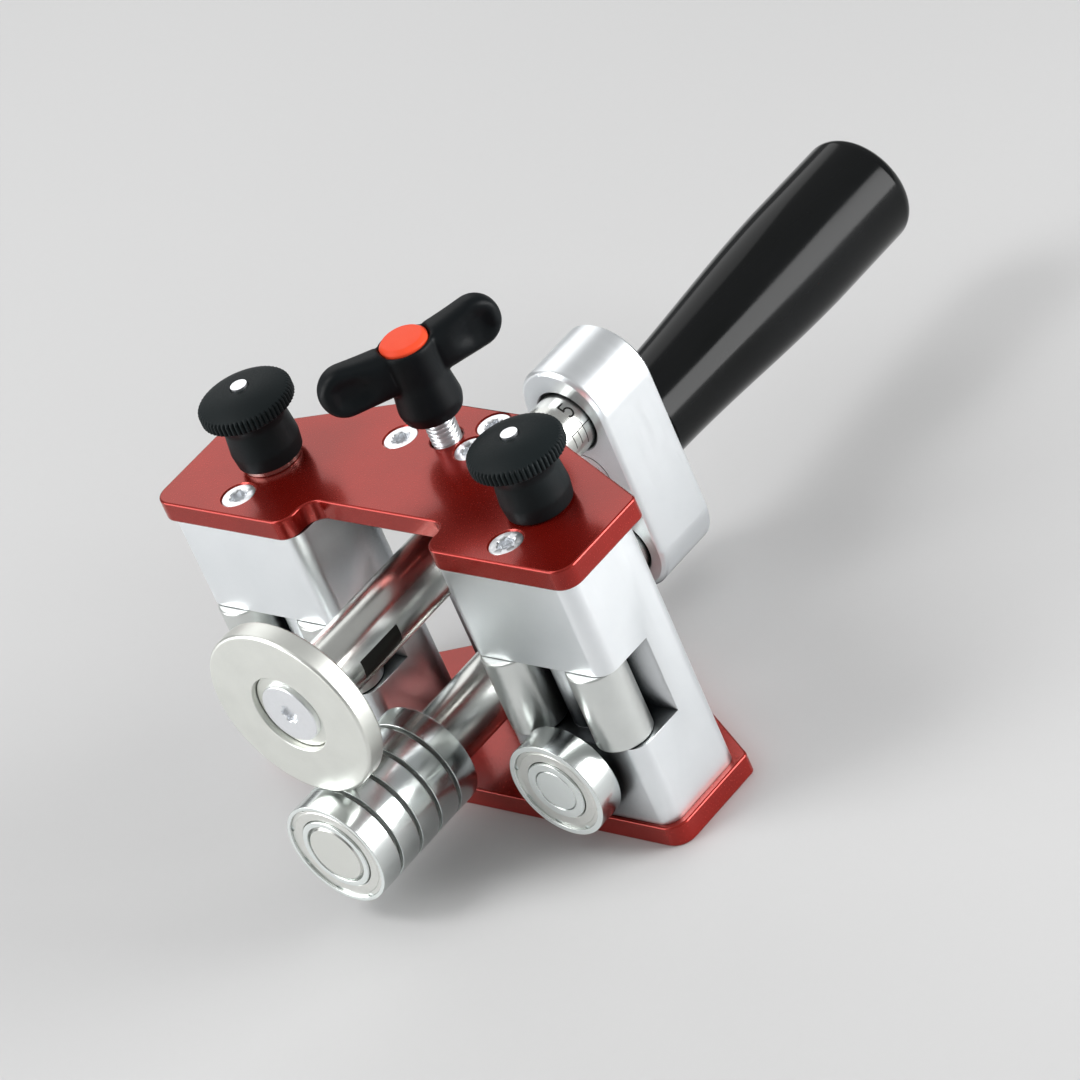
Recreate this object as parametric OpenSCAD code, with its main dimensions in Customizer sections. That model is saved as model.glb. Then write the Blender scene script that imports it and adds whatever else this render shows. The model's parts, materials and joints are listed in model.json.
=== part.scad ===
// Hand-pushed sheet metal edge bender. Two plates and two pillars make a frame with upright
// guide rollers. A pair of shafts slides through it, with a forming disc above a stack of
// ball bearings in front and a straight grip behind. The origin is the middle of the base
// plate's underside, the grip points along +Y and +Z is up.

/* [Plates] */
// Width of both plates
plate_w = 140; // [130:1:180]
// Thickness of both plates
plate_t = 6; // [5:0.5:10]
// Straight length of the plates' sides before they slant inwards
plate_side = 30; // [29:0.5:36]
// Depth of the top plate, front edge to back edge
top_depth = 52; // [50:0.5:60]
// Depth of the base plate, front edge to back edge
base_depth = 60; // [54:0.5:72]
// Width of the straight edge at the back of both plates
plate_back_w = 34; // [34:0.5:60]
// Radius of the plates' front corners
plate_front_r = 5; // [2:0.5:8]
// Radius of the plates' other outer corners
plate_back_r = 2; // [0.5:0.5:4]
// Width of the notch in the top plate's front edge
notch_w = 47; // [40:0.5:47.5]
// Depth of that notch
notch_depth = 10.3; // [9.5:0.1:14]
// Radius of the notch's corners
notch_r = 4.5; // [2:0.5:4.5]

/* [Pillars] */
// Clear gap between the two pillars
pillar_gap = 46; // [44:0.5:50]
// Width of each pillar
pillar_w = 45; // [42:0.5:46]
// Depth of each pillar
pillar_depth = 28; // [26:0.5:29]
// Height of each pillar
pillar_h = 75; // [72:0.5:90]
// Distance of the pillars behind the plates' front edge
pillar_setback = 1; // [0.5:0.1:2]
// Radius of the pillars' upright edges
pillar_r = 4.5; // [2:0.5:6]
// Height of the roller window above the pillar's foot
window_rise = 24.2; // [24:0.1:28]
// Height of the roller window
window_h = 23; // [18:0.5:30]
// Depth of the window behind the guide rollers
window_back_gap = 3.7; // [2:0.1:4]

/* [Guide rollers] */
// Diameter of the upright guide rollers
guide_d = 15; // [13:0.5:15.5]
// How far the guide rollers stand out of the pillar's front
guide_proud = 2.5; // [1.5:0.1:3]
// How far the guide rollers lie inside the pillar's sides
guide_side_inset = 1; // [0:0.1:1.5]
// Diameter of the round post between each pair of guide rollers
post_d = 12; // [10:0.5:13]
// Diameter of the guide rollers' pins
guide_pin_d = 6; // [4:0.5:8]
// Depth of the pins in the pillar above the window
guide_pin_seat = 6; // [4:0.5:10]

/* [Side bearings] */
// Bore of the side bearings
side_bore = 12; // [11.8:0.1:12.4]
// Outer diameter of the side bearings
side_od = 28; // [27.6:0.1:29]
// Width of the side bearings
side_w = 8; // [7.6:0.1:9]
// Diameter of the side bearings' balls
side_ball_d = 4.7; // [4.4:0.1:4.9]
// Number of balls in a side bearing
side_ball_n = 8; // [6:1:9]
// Wall of the side bearings' inner rings
side_inner_wall = 2.5; // [2.2:0.1:2.6]
// Wall of the side bearings' outer rings
side_outer_wall = 2.2; // [2.1:0.1:2.5]

/* [Roller bearings] */
// Outer diameter of the lower roller's bearings
roller_od = 30; // [29.6:0.1:31]
// Width of the lower roller's bearings
roller_w = 7; // [6.8:0.1:7.6]
// Thickness of the spacers between those bearings
spacer_t = 1; // [0.6:0.1:1.4]
// Diameter of the roller bearings' balls
roller_ball_d = 3.6; // [3.4:0.1:3.8]
// Number of balls in a roller bearing
roller_ball_n = 12; // [9:1:14]
// Wall of the roller bearings' inner rings
roller_inner_wall = 1.7; // [1.6:0.1:1.9]
// Wall of the roller bearings' outer rings
roller_outer_wall = 1.7; // [1.6:0.1:1.8]
// Thickness of all the bearing shields
shield_t = 0.5; // [0.3:0.1:0.6]
// Recess of the shields behind the bearings' faces
shield_recess = 0.4; // [0.3:0.1:0.5]

/* [Carriage] */
// Diameter of the two sliding shafts
shaft_d = 17; // [16:0.5:18]
// Diameter of the forming disc
disc_d = 49; // [46:0.5:54]
// Thickness of the forming disc
disc_t = 6; // [5:0.5:9]
// Gap for the sheet between the disc and the lower roller
sheet_gap = 1; // [0.5:0.1:2]
// Height of the lower roller above the base
roller_lift = 7.5; // [7.5:0.5:10]
// Distance of the disc's face in front of the plates
disc_reach = 39.7; // [36:0.1:44]
// Distance of the lower roller's face in front of the plates
roller_reach = 45.3; // [42:0.1:50]
// Diameter of the recess in the disc's face
disc_recess_d = 22.5; // [20:0.5:24]
// Outer diameter of the disc's bush
bush_d = 15.6; // [15:0.1:16]
// Wall of the disc's bush
bush_wall = 1; // [0.8:0.1:1.2]
// Thickness of the washer that keeps the disc on its shaft
keeper_t = 1; // [0.8:0.1:1.4]
// Thread diameter of the disc's screw
disc_screw_d = 8; // [6:0.5:8]
// Head diameter of the disc's screw
disc_screw_head = 16.8; // [14:0.1:17.5]
// Thickness of the disc screw's head
disc_head_t = 1.6; // [1.2:0.1:1.8]
// Length of the disc's screw
disc_screw_len = 20; // [14:1:30]

/* [Handle] */
// Gap between the top plate's back edge and the handle block
handle_gap = 24.5; // [20:0.5:30]
// Width of the handle block
block_w = 27.5; // [25:0.5:32]
// How far the block's upper round end is centred above the upper shaft
block_rise = 2; // [0:0.5:4]
// Thickness of the handle block
block_t = 21; // [20:0.5:28]
// Depth of the shafts in the handle block
shaft_seat = 11.5; // [8:0.5:12]
// Bevel round the shafts' holes in the handle block
block_bevel = 0.9; // [0.5:0.1:1.2]
// Bevel round the handle block's outline
block_edge = 1.3; // [0.5:0.1:2]
// Thread diameter of the shafts' end screws
end_screw_d = 5; // [4:0.5:5]
// Thread diameter of the grip's bolt
grip_bolt_d = 8; // [6:0.5:10]
// Height of the grip's axis above the middle of the two shafts
grip_rise = 3; // [0:0.5:3]
// Length of the grip
grip_len = 104; // [80:1:130]
// Diameter of the grip where it meets the block
grip_base_d = 25.6; // [24:0.1:30]
// Largest diameter of the grip
grip_d = 32; // [28:0.5:36]
// Radius of the grip's end edge
grip_end_r = 4; // [2:0.5:8]
// Length of the threaded insert in the grip
insert_len = 20; // [14:1:30]
// Outer diameter of the threaded insert
insert_d = 13; // [12:0.5:16]

/* [Guide block and clamp] */
// Width of the guide block behind the pillars
guide_block_w = 35; // [34:0.5:40]
// Depth of the guide block
guide_block_depth = 19; // [17:0.5:20]
// Distance of the clamp screw in front of the top plate's back edge
clamp_inset = 12.5; // [10:0.5:14]
// Thread diameter of the clamp screw
clamp_d = 8; // [6:0.5:8]
// Thickness of the clamp's pressure pad
pad_t = 2; // [1:0.5:4]
// Thread left bare between the plate and the wing knob
clamp_bare = 8; // [6:0.5:12]
// Height of the wing knob's hub
wing_h = 22; // [20:0.5:28]
// Diameter of the wing knob's hub at its top
wing_hub_d = 15; // [14.6:0.1:16]
// Diameter of the wing knob's hub at its foot
wing_foot_d = 17; // [16:0.5:18]
// Span of the wing knob
wing_span = 50; // [46:0.5:60]
// Angle of the wings from the X axis
wing_angle = 60; // [0:1:90]
// Radius of the wings' round ends
wing_tip_r = 7; // [6:0.1:8]
// Thickness of the wings at their ends
wing_t = 8; // [6:0.5:10]
// Diameter of the cap on the wing knob
cap_d = 12.8; // [11:0.1:13]

/* [Plungers] */
// Diameter of the plunger knobs
knob_d = 25; // [23:0.5:30]
// Height of the plunger knobs
knob_h = 21.5; // [20:0.5:27]
// Height of the knobs' knurled rim
knob_rim_h = 3.4; // [3:0.1:5]
// Diameter of the knobs' skirt
skirt_d = 18.2; // [17.8:0.1:20]
// Diameter of the knobs' waist under the rim
waist_d = 17.2; // [16.8:0.1:17.6]
// Diameter of the plunger sleeves' collar
collar_d = 15.2; // [14:0.1:15.4]
// Height of the plunger sleeves' collar
collar_h = 8; // [7:0.5:9]
// Diameter of the plunger sleeves' threaded body
sleeve_d = 12; // [11.5:0.1:13]
// Depth of the sleeves in the pillars
sleeve_seat = 15; // [12:0.5:17]
// Diameter of the plunger pins in their sleeves
pin_d = 6; // [5:0.1:6.2]
// Diameter of the plunger pins' tips
tip_d = 4.4; // [3:0.1:4.5]
// Wall between the roller window and the plunger pin's hole
plunger_wall = 2.4; // [1:0.1:2.6]
// How far the plunger pins reach into the side axles
tip_reach = 2.8; // [2:0.1:3.2]
// How far the left plunger stands up, out of its seat
left_lift = 1.4; // [0:0.1:2]

/* [Side axles] */
// Clear distance between the side bearings and the guide rollers
side_gap = 0.5; // [0.3:0.1:1.5]
// Length of the side axles' slide
side_travel = 5; // [2:0.5:6]
// How far the side axles stand out behind the pillars
axle_tail = 2; // [1:0.5:6]

/* [Screws] */
// Thread diameter of the plate screws
screw_d = 5; // [4:0.5:5]
// Head diameter of the plate screws
screw_head = 9.2; // [8.5:0.1:9.6]
// Length of the plate screws
screw_len = 15; // [12:0.5:15]
// Distance of the pillar screws behind the pillars' front
screw_inset = 6.5; // [6:0.1:7]
// Left row of the guide block's screws from the middle plane
guide_screw_left = 14; // [13:0.1:14]
// Right row of the guide block's screws from the middle plane
guide_screw_right = 10; // [10:0.1:14]
// Distance of the guide block's rear screws in front of the top plate's back edge
guide_screw_inset = 5.2; // [5.2:0.1:6]
// Distance between the guide block's front and rear screws
guide_screw_pitch = 9.6; // [9.3:0.1:10]

/* [Fits] */
// Radial gap of turning and sliding fits
run_gap = 0.05; // [0.02:0.01:0.1]
// Radial gap of fixed fits
fixed_gap = 0.02; // [0.01:0.01:0.05]
// End gap beside turning pieces
end_gap = 0.2; // [0.1:0.05:0.3]
// Free gap round moving pieces that are not a fit
free_gap = 0.3; // [0.2:0.05:0.4]

/* [Hidden] */
$fn = 96;
hull_fn = 32;
eps = 0.01;

// Heights
top_z = plate_t + pillar_h;
deck_z = top_z + plate_t;
lower_z = roller_lift + roller_od / 2;
upper_z = lower_z + roller_od / 2 + sheet_gap + disc_d / 2;
window_z = plate_t + window_rise;

// Places along Y
post_root = 0.3;
front_y = -base_depth / 2;
top_back_y = front_y + top_depth;
pillar_front = front_y + pillar_setback;
guide_y = pillar_front - guide_proud + guide_d / 2;
window_back = guide_y + guide_d / 2 + window_back_gap;
post_y = window_back - post_d / 2 + post_root;
tip_hole_r = tip_d / 2 + free_gap / 2;
plunger_y = window_back + plunger_wall + tip_hole_r;
disc_front = front_y - disc_reach;
roller_front = front_y - roller_reach;
block_front = top_back_y + handle_gap;
block_back = block_front + block_t;
grip_z = (lower_z + upper_z) / 2 + grip_rise;
clamp_y = top_back_y - clamp_inset;
side_front = guide_y - guide_d / 2 - side_gap - side_w;

// Places along X
pillar_x = pillar_gap / 2 + pillar_w / 2;
guide_dx = pillar_w / 2 - guide_d / 2 - guide_side_inset;

// Bearings: bore, outer diameter, width, inner wall, outer wall, ball diameter, ball count
side_brg = [side_bore, side_od, side_w, side_inner_wall, side_outer_wall, side_ball_d, side_ball_n];
roller_brg = [
  shaft_d + 2 * fixed_gap, roller_od, roller_w, roller_inner_wall, roller_outer_wall,
  roller_ball_d, roller_ball_n
];
roller_n = 5;
roller_pitch = roller_w + spacer_t;
shield_seat = shield_recess + shield_t;
shield_lip = 0.6;
ring_chamfer = 0.6;
ring_end = end_gap / 2;
shaft_chamfer = 0.8;

// Disc on its spigot
spigot_d = bush_d - 2 * bush_wall - 2 * run_gap;
keeper_front = disc_front + end_gap + disc_head_t;
keeper_back = keeper_front + keeper_t;
disc_floor = keeper_back + end_gap / 2;
bush_back = disc_front + disc_t + end_gap;
rim_round = 0.9;

// Screw heads and sockets
head_sink = 0.3;
socket_depth = 1.8;
socket_ratio = 0.24;
head_edge = 0.3;
disc_socket_r = 2.4;
lobe_depth = 0.13;
cap_head_ratio = 1.6;
cap_socket_ratio = 0.92;
bolt_end_gap = 1;
end_screw_sink = 0.5;
end_sink = end_screw_d + end_screw_sink;

// Plungers
knob_foot = deck_z + free_gap;
sleeve_wall = 1.4;
sleeve_floor = 2;
collar_roof = 4;
chamber_d = sleeve_d - 2 * sleeve_wall;
chamber_floor = top_z - sleeve_seat + sleeve_floor;
chamber_top = deck_z + collar_h - collar_roof;
shoulder_d = chamber_d - 2 * free_gap;
shoulder_t = 2;
shoulder_rest = 2;
shoulder_z = chamber_floor + shoulder_rest;
stem_share = 0.65;
stem_top = knob_foot + knob_h * stem_share;
pin_proud = 0.4;
pin_top = knob_foot + knob_h + pin_proud;
crown_h = 3;
crown_bow = 0.8;
neck_h = 3;
neck_flare = 1.5;
knob_edge = 1;
spring_wall = 0.8;
axle_r = side_bore / 2 - fixed_gap;
tip_z = lower_z + axle_r - tip_reach;
key_w = tip_d + 2 * free_gap;
axle_back = pillar_front + pillar_depth + axle_tail;

// Clamp
pad_z = upper_z + shaft_d / 2 + end_gap / 2;
stud_z = pad_z + pad_t + run_gap;
wing_z = deck_z + clamp_bare;
stud_top = wing_z + wing_h * 0.6;
wing_mid = wing_h - 4.2;
wing_foot_edge = 2;
wing_root_h = 11;
wing_edge = 1;
cap_seat = 2.2;
cap_rise = 1.6;

// Corner points [x, y, radius], counter-clockwise, to an outline with round corners
function unit(v) = v / norm(v);
function xy(p) = [p[0], p[1]];
function corner(a, p, b, r, steps = 8) =
  let (
    u = unit(a - p),
    v = unit(b - p),
    half = acos(u * v) / 2,
    centre = p + unit(u + v) * r / sin(half),
    from = p + u * r / tan(half) - centre,
    start = atan2(from[1], from[0]),
    turn = sign(v[0] * u[1] - v[1] * u[0]) * (180 - 2 * half)
  )
  [for (i = [0 : steps]) centre + r * [cos(start + turn * i / steps), sin(start + turn * i / steps)]];
function rounded(pts) =
  let (n = len(pts))
  [for (i = [0 : n - 1])
    each corner(xy(pts[(i + n - 1) % n]), xy(pts[i]), xy(pts[(i + 1) % n]), pts[i][2])];

// Points of an arc about c
function arc(c, r, from, to, steps = 8) =
  [for (i = [0 : steps]) c + r * [cos(from + (to - from) * i / steps), sin(from + (to - from) * i / steps)]];

// A six-lobed socket's outline
function lobes(r) = [for (i = [0 : 35]) r * (1 + lobe_depth * cos(60 * i)) * [cos(10 * i), sin(10 * i)]];

function back_corners(depth) = [
  [plate_w / 2, front_y, plate_front_r],
  [plate_w / 2, front_y + plate_side, plate_back_r],
  [plate_back_w / 2, front_y + depth, plate_back_r],
  [-plate_back_w / 2, front_y + depth, plate_back_r],
  [-plate_w / 2, front_y + plate_side, plate_back_r],
  [-plate_w / 2, front_y, plate_front_r]
];
notch_corners = [
  [-notch_w / 2, front_y, notch_r],
  [-notch_w / 2, front_y + notch_depth, notch_r],
  [notch_w / 2, front_y + notch_depth, notch_r],
  [notch_w / 2, front_y, notch_r]
];
pillar_screws = [for (s = [-1, 1]) [s * pillar_x, pillar_front + screw_inset]];
base_only_screws = [for (s = [-1, 1]) [s * pillar_x, pillar_front + pillar_depth - screw_inset]];
block_screws = [
  for (x = [-guide_screw_left, guide_screw_right])
    for (y = [0, guide_screw_pitch]) [x, top_back_y - guide_screw_inset - y]
];
top_screws = concat(pillar_screws, block_screws);
base_screws = concat(pillar_screws, base_only_screws, block_screws);

// Turns a shape that stands along +Z so that it runs back along +Y from a point
module along_y(p) {
  translate(p) rotate([-90, 0, 0]) children();
}

// Countersunk hole cut downwards from a plate's face at z = 0, through to a depth
module csk_hole(d, head, depth) {
  sink = head / 2 + head_sink;
  translate([0, 0, -depth - eps]) cylinder(d = d + 2 * fixed_gap, h = depth + 2 * eps);
  translate([0, 0, -sink]) cylinder(r1 = 0, r2 = sink, h = sink);
  translate([0, 0, -eps]) cylinder(r = sink, h = 2 * eps);
}

// Countersunk screw that hangs from z = 0, with a six-lobed socket
module csk_screw(d, head, len) {
  rise = head / 2 - 2 * fixed_gap;
  difference() {
    union() {
      translate([0, 0, -rise]) cylinder(r1 = 0, r2 = rise, h = rise);
      translate([0, 0, -len]) cylinder(d = d, h = len - rise + d / 2);
    }
    translate([0, 0, -socket_depth - fixed_gap])
      linear_extrude(socket_depth + 1) polygon(lobes(head * socket_ratio));
  }
}

// Cap screw whose head's top is at z = 0 and whose shank runs down
module cap_screw(d, len) {
  head = d * cap_head_ratio;
  difference() {
    union() {
      translate([0, 0, -d]) cylinder(d = head, h = d);
      translate([0, 0, -d - len]) cylinder(d = d, h = len + eps);
    }
    translate([0, 0, -d / 2]) linear_extrude(d) circle(d = d * cap_socket_ratio, $fn = 6);
  }
}

module top_plate() {
  color("#8e231c") difference() {
    translate([0, 0, top_z])
      linear_extrude(plate_t) polygon(rounded(concat(notch_corners, back_corners(top_depth))));
    for (p = top_screws) translate([p[0], p[1], deck_z]) csk_hole(screw_d, screw_head, plate_t);
    for (s = [-1, 1])
      translate([s * pillar_x, plunger_y, top_z - eps])
        cylinder(r = sleeve_d / 2 + fixed_gap, h = plate_t + 2 * eps);
    translate([0, clamp_y, top_z - eps]) cylinder(r = clamp_d / 2 + free_gap, h = plate_t + 2 * eps);
  }
}

module base_plate() {
  color("#8e231c") difference() {
    linear_extrude(plate_t) polygon(rounded(back_corners(base_depth)));
    for (p = base_screws)
      translate([p[0], p[1], 0]) mirror([0, 0, 1]) csk_hole(screw_d, screw_head, plate_t);
  }
}

module pillar(side) {
  x0 = pillar_x - pillar_w / 2;
  x1 = pillar_x + pillar_w / 2;
  y1 = pillar_front + pillar_depth;
  y0 = pillar_front;
  shape = [[x0, y0, pillar_r], [x1, y0, pillar_r], [x1, y1, pillar_r], [x0, y1, pillar_r]];
  seat_r = screw_d / 2 + fixed_gap;
  bore_r = axle_r + run_gap;
  mirror([side < 0 ? 1 : 0, 0, 0])
    difference() {
      translate([0, 0, plate_t]) linear_extrude(pillar_h) polygon(rounded(shape));
      // Window across the front, with a round post left in its middle
      difference() {
        translate([x0 - guide_d, pillar_front - guide_d, window_z])
          cube([pillar_w + 2 * guide_d, window_back - pillar_front + guide_d, window_h]);
        translate([pillar_x, post_y, plate_t]) cylinder(d = post_d, h = pillar_h);
      }
      // Holes for the guide rollers' pins
      for (s = [-1, 1])
        translate([pillar_x + s * guide_dx, guide_y, plate_t - eps])
          cylinder(r = guide_pin_d / 2 + fixed_gap, h = window_rise + window_h + guide_pin_seat);
      // Bore for the side axle
      along_y([pillar_x, pillar_front - eps, lower_z]) cylinder(r = bore_r, h = pillar_depth + 2 * eps);
      // Seat of the plunger's sleeve and the way down for its pin
      translate([pillar_x, plunger_y, top_z - sleeve_seat])
        cylinder(r = sleeve_d / 2 + fixed_gap, h = sleeve_seat + eps);
      translate([pillar_x, plunger_y, lower_z]) cylinder(r = tip_hole_r, h = top_z - lower_z);
      // Threaded holes
      translate([pillar_x, pillar_front + screw_inset, deck_z - screw_len])
        cylinder(r = seat_r, h = screw_len);
      for (y = [screw_inset, pillar_depth - screw_inset])
        translate([pillar_x, pillar_front + y, 0]) cylinder(r = seat_r, h = screw_len);
    }
}

module left_pillar() { color("#d9dcdd") pillar(-1); }
module right_pillar() { color("#d9dcdd") pillar(1); }

module guide_block() {
  bore_r = shaft_d / 2 + run_gap;
  block_y = top_back_y - guide_block_depth;
  color("#cfd3d4") difference() {
    translate([0, 0, plate_t]) linear_extrude(pillar_h)
      intersection() {
        translate([-guide_block_w / 2, block_y]) square([guide_block_w, guide_block_depth]);
        polygon(rounded(back_corners(top_depth)));
      }
    for (z = [lower_z, upper_z])
      along_y([0, block_y - eps, z]) cylinder(r = bore_r, h = guide_block_depth + 2 * eps);
    for (p = block_screws) {
      translate([p[0], p[1], deck_z - screw_len]) cylinder(r = screw_d / 2 + fixed_gap, h = screw_len);
      translate([p[0], p[1], 0]) cylinder(r = screw_d / 2 + fixed_gap, h = screw_len);
    }
    translate([0, clamp_y, upper_z]) cylinder(r = clamp_d / 2 + run_gap, h = deck_z - upper_z);
  }
}

module top_plate_screws() {
  color("#c9cccd")
    for (p = top_screws)
      translate([p[0], p[1], deck_z - head_sink])
        csk_screw(screw_d, screw_head, screw_len - head_sink - end_gap);
}

module base_plate_screws() {
  color("#c9cccd")
    for (p = base_screws)
      translate([p[0], p[1], head_sink]) mirror([0, 0, 1])
        csk_screw(screw_d, screw_head, screw_len - head_sink - end_gap);
}

module guide_roller_pins() {
  pin_h = window_rise + window_h + guide_pin_seat - 2 * end_gap;
  color("#9c9ea0")
    for (s = [-1, 1], t = [-1, 1])
      translate([s * pillar_x + t * guide_dx, guide_y, plate_t + end_gap / 2])
        cylinder(d = guide_pin_d, h = pin_h);
}

module guide_roller(x) {
  edge = 0.5;
  bore_r = guide_pin_d / 2 + run_gap;
  roller_h = window_h - 2 * end_gap;
  color("#aeaba4")
    translate([x, guide_y, window_z + end_gap])
      rotate_extrude() polygon([
        [bore_r, 0], [guide_d / 2 - edge, 0], [guide_d / 2, edge],
        [guide_d / 2, roller_h - edge], [guide_d / 2 - edge, roller_h], [bore_r, roller_h]
      ]);
}

module left_outer_guide_roller() { guide_roller(-pillar_x - guide_dx); }
module left_inner_guide_roller() { guide_roller(-pillar_x + guide_dx); }
module right_inner_guide_roller() { guide_roller(pillar_x - guide_dx); }
module right_outer_guide_roller() { guide_roller(pillar_x + guide_dx); }

// Sliding shafts, with their tapped rear ends
module shaft(from, z) {
  tap_len = end_screw_d * 2.5;
  difference() {
    along_y([0, from, z]) cylinder(d = shaft_d, h = block_front + shaft_seat - from);
    along_y([0, block_front + shaft_seat - tap_len, z])
      cylinder(d = end_screw_d + 2 * fixed_gap, h = tap_len + eps);
  }
}

module upper_shaft() {
  color("#b9b7b1") difference() {
    union() {
      shaft(bush_back, upper_z);
      along_y([0, keeper_back, upper_z]) cylinder(d = spigot_d, h = bush_back - keeper_back + eps);
    }
    along_y([0, disc_front, upper_z])
      cylinder(d = disc_screw_d + 2 * fixed_gap, h = disc_screw_len + end_gap);
  }
}

module lower_shaft() {
  r = shaft_d / 2;
  color("#b9b7b1") difference() {
    shaft(roller_front, lower_z);
    // Bevel round the front end
    along_y([0, roller_front, lower_z]) rotate_extrude() polygon([
      [r - shaft_chamfer, -eps], [r + eps, -eps], [r + eps, shaft_chamfer + eps]
    ]);
  }
}

module handle_block() {
  head = grip_bolt_d * cap_head_ratio;
  end_head = end_screw_d * cap_head_ratio;
  bore_r = shaft_d / 2 + fixed_gap;
  half = block_w / 2;
  round_z = upper_z + block_rise;
  color("#d9dcdd") difference() {
    union() {
      for (z = [lower_z, round_z])
        along_y([0, block_front, z]) rotate_extrude() polygon([
          [0, 0], [half - block_edge, 0], [half, block_edge],
          [half, block_t - block_edge], [half - block_edge, block_t], [0, block_t]
        ]);
      translate([0, block_front, lower_z]) linear_extrude(round_z - lower_z) polygon([
        [half - block_edge, 0], [half, block_edge], [half, block_t - block_edge],
        [half - block_edge, block_t], [block_edge - half, block_t], [-half, block_t - block_edge],
        [-half, block_edge], [block_edge - half, 0]
      ]);
    }
    for (z = [lower_z, upper_z]) {
      along_y([0, block_front - eps, z]) cylinder(r = bore_r, h = shaft_seat + 2 * eps);
      along_y([0, block_front - eps, z])
        cylinder(r1 = bore_r + block_bevel + eps, r2 = bore_r, h = block_bevel + eps);
      along_y([0, block_front, z]) cylinder(r = end_screw_d / 2 + fixed_gap, h = block_t);
      along_y([0, block_back - end_sink, z]) cylinder(r = end_head / 2 + end_gap, h = end_sink + eps);
    }
    along_y([0, block_front - eps, grip_z]) cylinder(r = head / 2 + free_gap, h = grip_bolt_d + 2 * eps);
    along_y([0, block_front, grip_z]) cylinder(r = grip_bolt_d / 2 + fixed_gap, h = block_t + eps);
  }
}

module shaft_end_screws() {
  web = block_t - shaft_seat - end_sink;
  color("#55585a")
    for (z = [lower_z, upper_z])
      along_y([0, block_back - end_screw_sink, z]) cap_screw(end_screw_d, web + end_screw_d * 2);
}

module grip_bolt() {
  color("#8f9294")
    along_y([0, block_front, grip_z]) mirror([0, 0, 1])
      cap_screw(grip_bolt_d, block_t - grip_bolt_d + insert_len - bolt_end_gap);
}

module grip_insert() {
  color("#b08d4a") difference() {
    along_y([0, block_back, grip_z]) cylinder(d = insert_d, h = insert_len);
    along_y([0, block_back - eps, grip_z])
      cylinder(r = grip_bolt_d / 2 + fixed_gap, h = insert_len + 2 * eps);
  }
}

// Grip radius a share s of the way along it, swelling in one smooth step
function grip_r(s) =
  let (u = min(1, s / 0.72)) grip_base_d / 2 + (grip_d - grip_base_d) / 2 * u * u * (3 - 2 * u);

module grip() {
  steps = 16;
  body_len = grip_len - grip_end_r;
  side = [for (i = [0 : steps]) [grip_r(i / steps * body_len / grip_len), i / steps * body_len]];
  end = arc([grip_d / 2 - grip_end_r, body_len], grip_end_r, 0, 90);
  tip = [for (i = [1 : len(end) - 1]) end[i]];
  color("#101112") difference() {
    along_y([0, block_back, grip_z])
      rotate_extrude() polygon(concat([[0, 0]], side, tip, [[0, grip_len]]));
    along_y([0, block_back - eps, grip_z]) cylinder(d = insert_d + 2 * fixed_gap, h = insert_len + end_gap);
  }
}

// Pieces of a bearing b, standing along +Z from their front face
function ball_pcd(b) = (b[0] + b[1]) / 2;
function inner_r(b) = b[0] / 2 + b[3];
function outer_r(b) = b[1] / 2 - b[4];

module bearing_balls(b) {
  for (i = [0 : b[6] - 1])
    rotate([0, 0, 360 * i / b[6]])
      translate([ball_pcd(b) / 2, 0, b[2] / 2]) sphere(d = b[5], $fn = 48);
}

module race(b, gap) {
  translate([0, 0, b[2] / 2])
    rotate_extrude() translate([ball_pcd(b) / 2, 0]) circle(r = b[5] / 2 + gap, $fn = 48);
}

module inner_ring(b) {
  edge = 0.3;
  r0 = b[0] / 2;
  r1 = inner_r(b);
  z0 = fixed_gap;
  z1 = b[2] - fixed_gap;
  difference() {
    rotate_extrude() polygon([
      [r0, z0], [r1 - edge, z0], [r1, z0 + edge], [r1, z1 - edge], [r1 - edge, z1], [r0, z1]
    ]);
    race(b, fixed_gap);
  }
}

module outer_ring(b) {
  r = b[1] / 2;
  c = ring_chamfer;
  r0 = outer_r(b);
  lip_r = r0 + shield_lip;
  z0 = ring_end;
  z1 = b[2] - ring_end;
  difference() {
    rotate_extrude() polygon([
      [lip_r, z0], [r - c, z0], [r, z0 + c], [r, z1 - c], [r - c, z1], [lip_r, z1],
      [lip_r, z1 - shield_seat], [r0, z1 - shield_seat], [r0, z0 + shield_seat],
      [lip_r, z0 + shield_seat]
    ]);
    race(b, run_gap);
  }
}

module shields(b) {
  in_r = inner_r(b) + free_gap;
  out_r = outer_r(b) + shield_lip - fixed_gap;
  for (z = [ring_end + shield_recess, b[2] - ring_end - shield_seat])
    translate([0, 0, z]) rotate_extrude() translate([in_r, 0]) square([out_r - in_r, shield_t]);
}

module at_roller(i) {
  along_y([0, roller_front + (i - 1) * roller_pitch, lower_z]) children();
}

module at_side(side) {
  along_y([side * pillar_x, side_front, lower_z]) children();
}

module roller_inner_rings() {
  color("#c4c5c3") for (i = [1 : roller_n]) at_roller(i) inner_ring(roller_brg);
}
module roller_spacers() {
  in_r = shaft_d / 2 + fixed_gap;
  out_r = inner_r(roller_brg) - ring_chamfer;
  color("#8b8d8f")
    for (i = [1 : roller_n - 1])
      at_roller(i) translate([0, 0, roller_w])
        rotate_extrude() translate([in_r, 0]) square([out_r - in_r, spacer_t]);
}
module roller_balls() {
  color("#dfe0e0") for (i = [1 : roller_n]) at_roller(i) bearing_balls(roller_brg);
}
module roller_ring(i) { color("#c4c5c3") at_roller(i) outer_ring(roller_brg); }
module roller_shields(i) { color("#d6d4cc") at_roller(i) shields(roller_brg); }

// The left plunger stands higher, on the floor of a shallower keyway
function lift(side) = side < 0 ? left_lift : 0;

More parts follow.
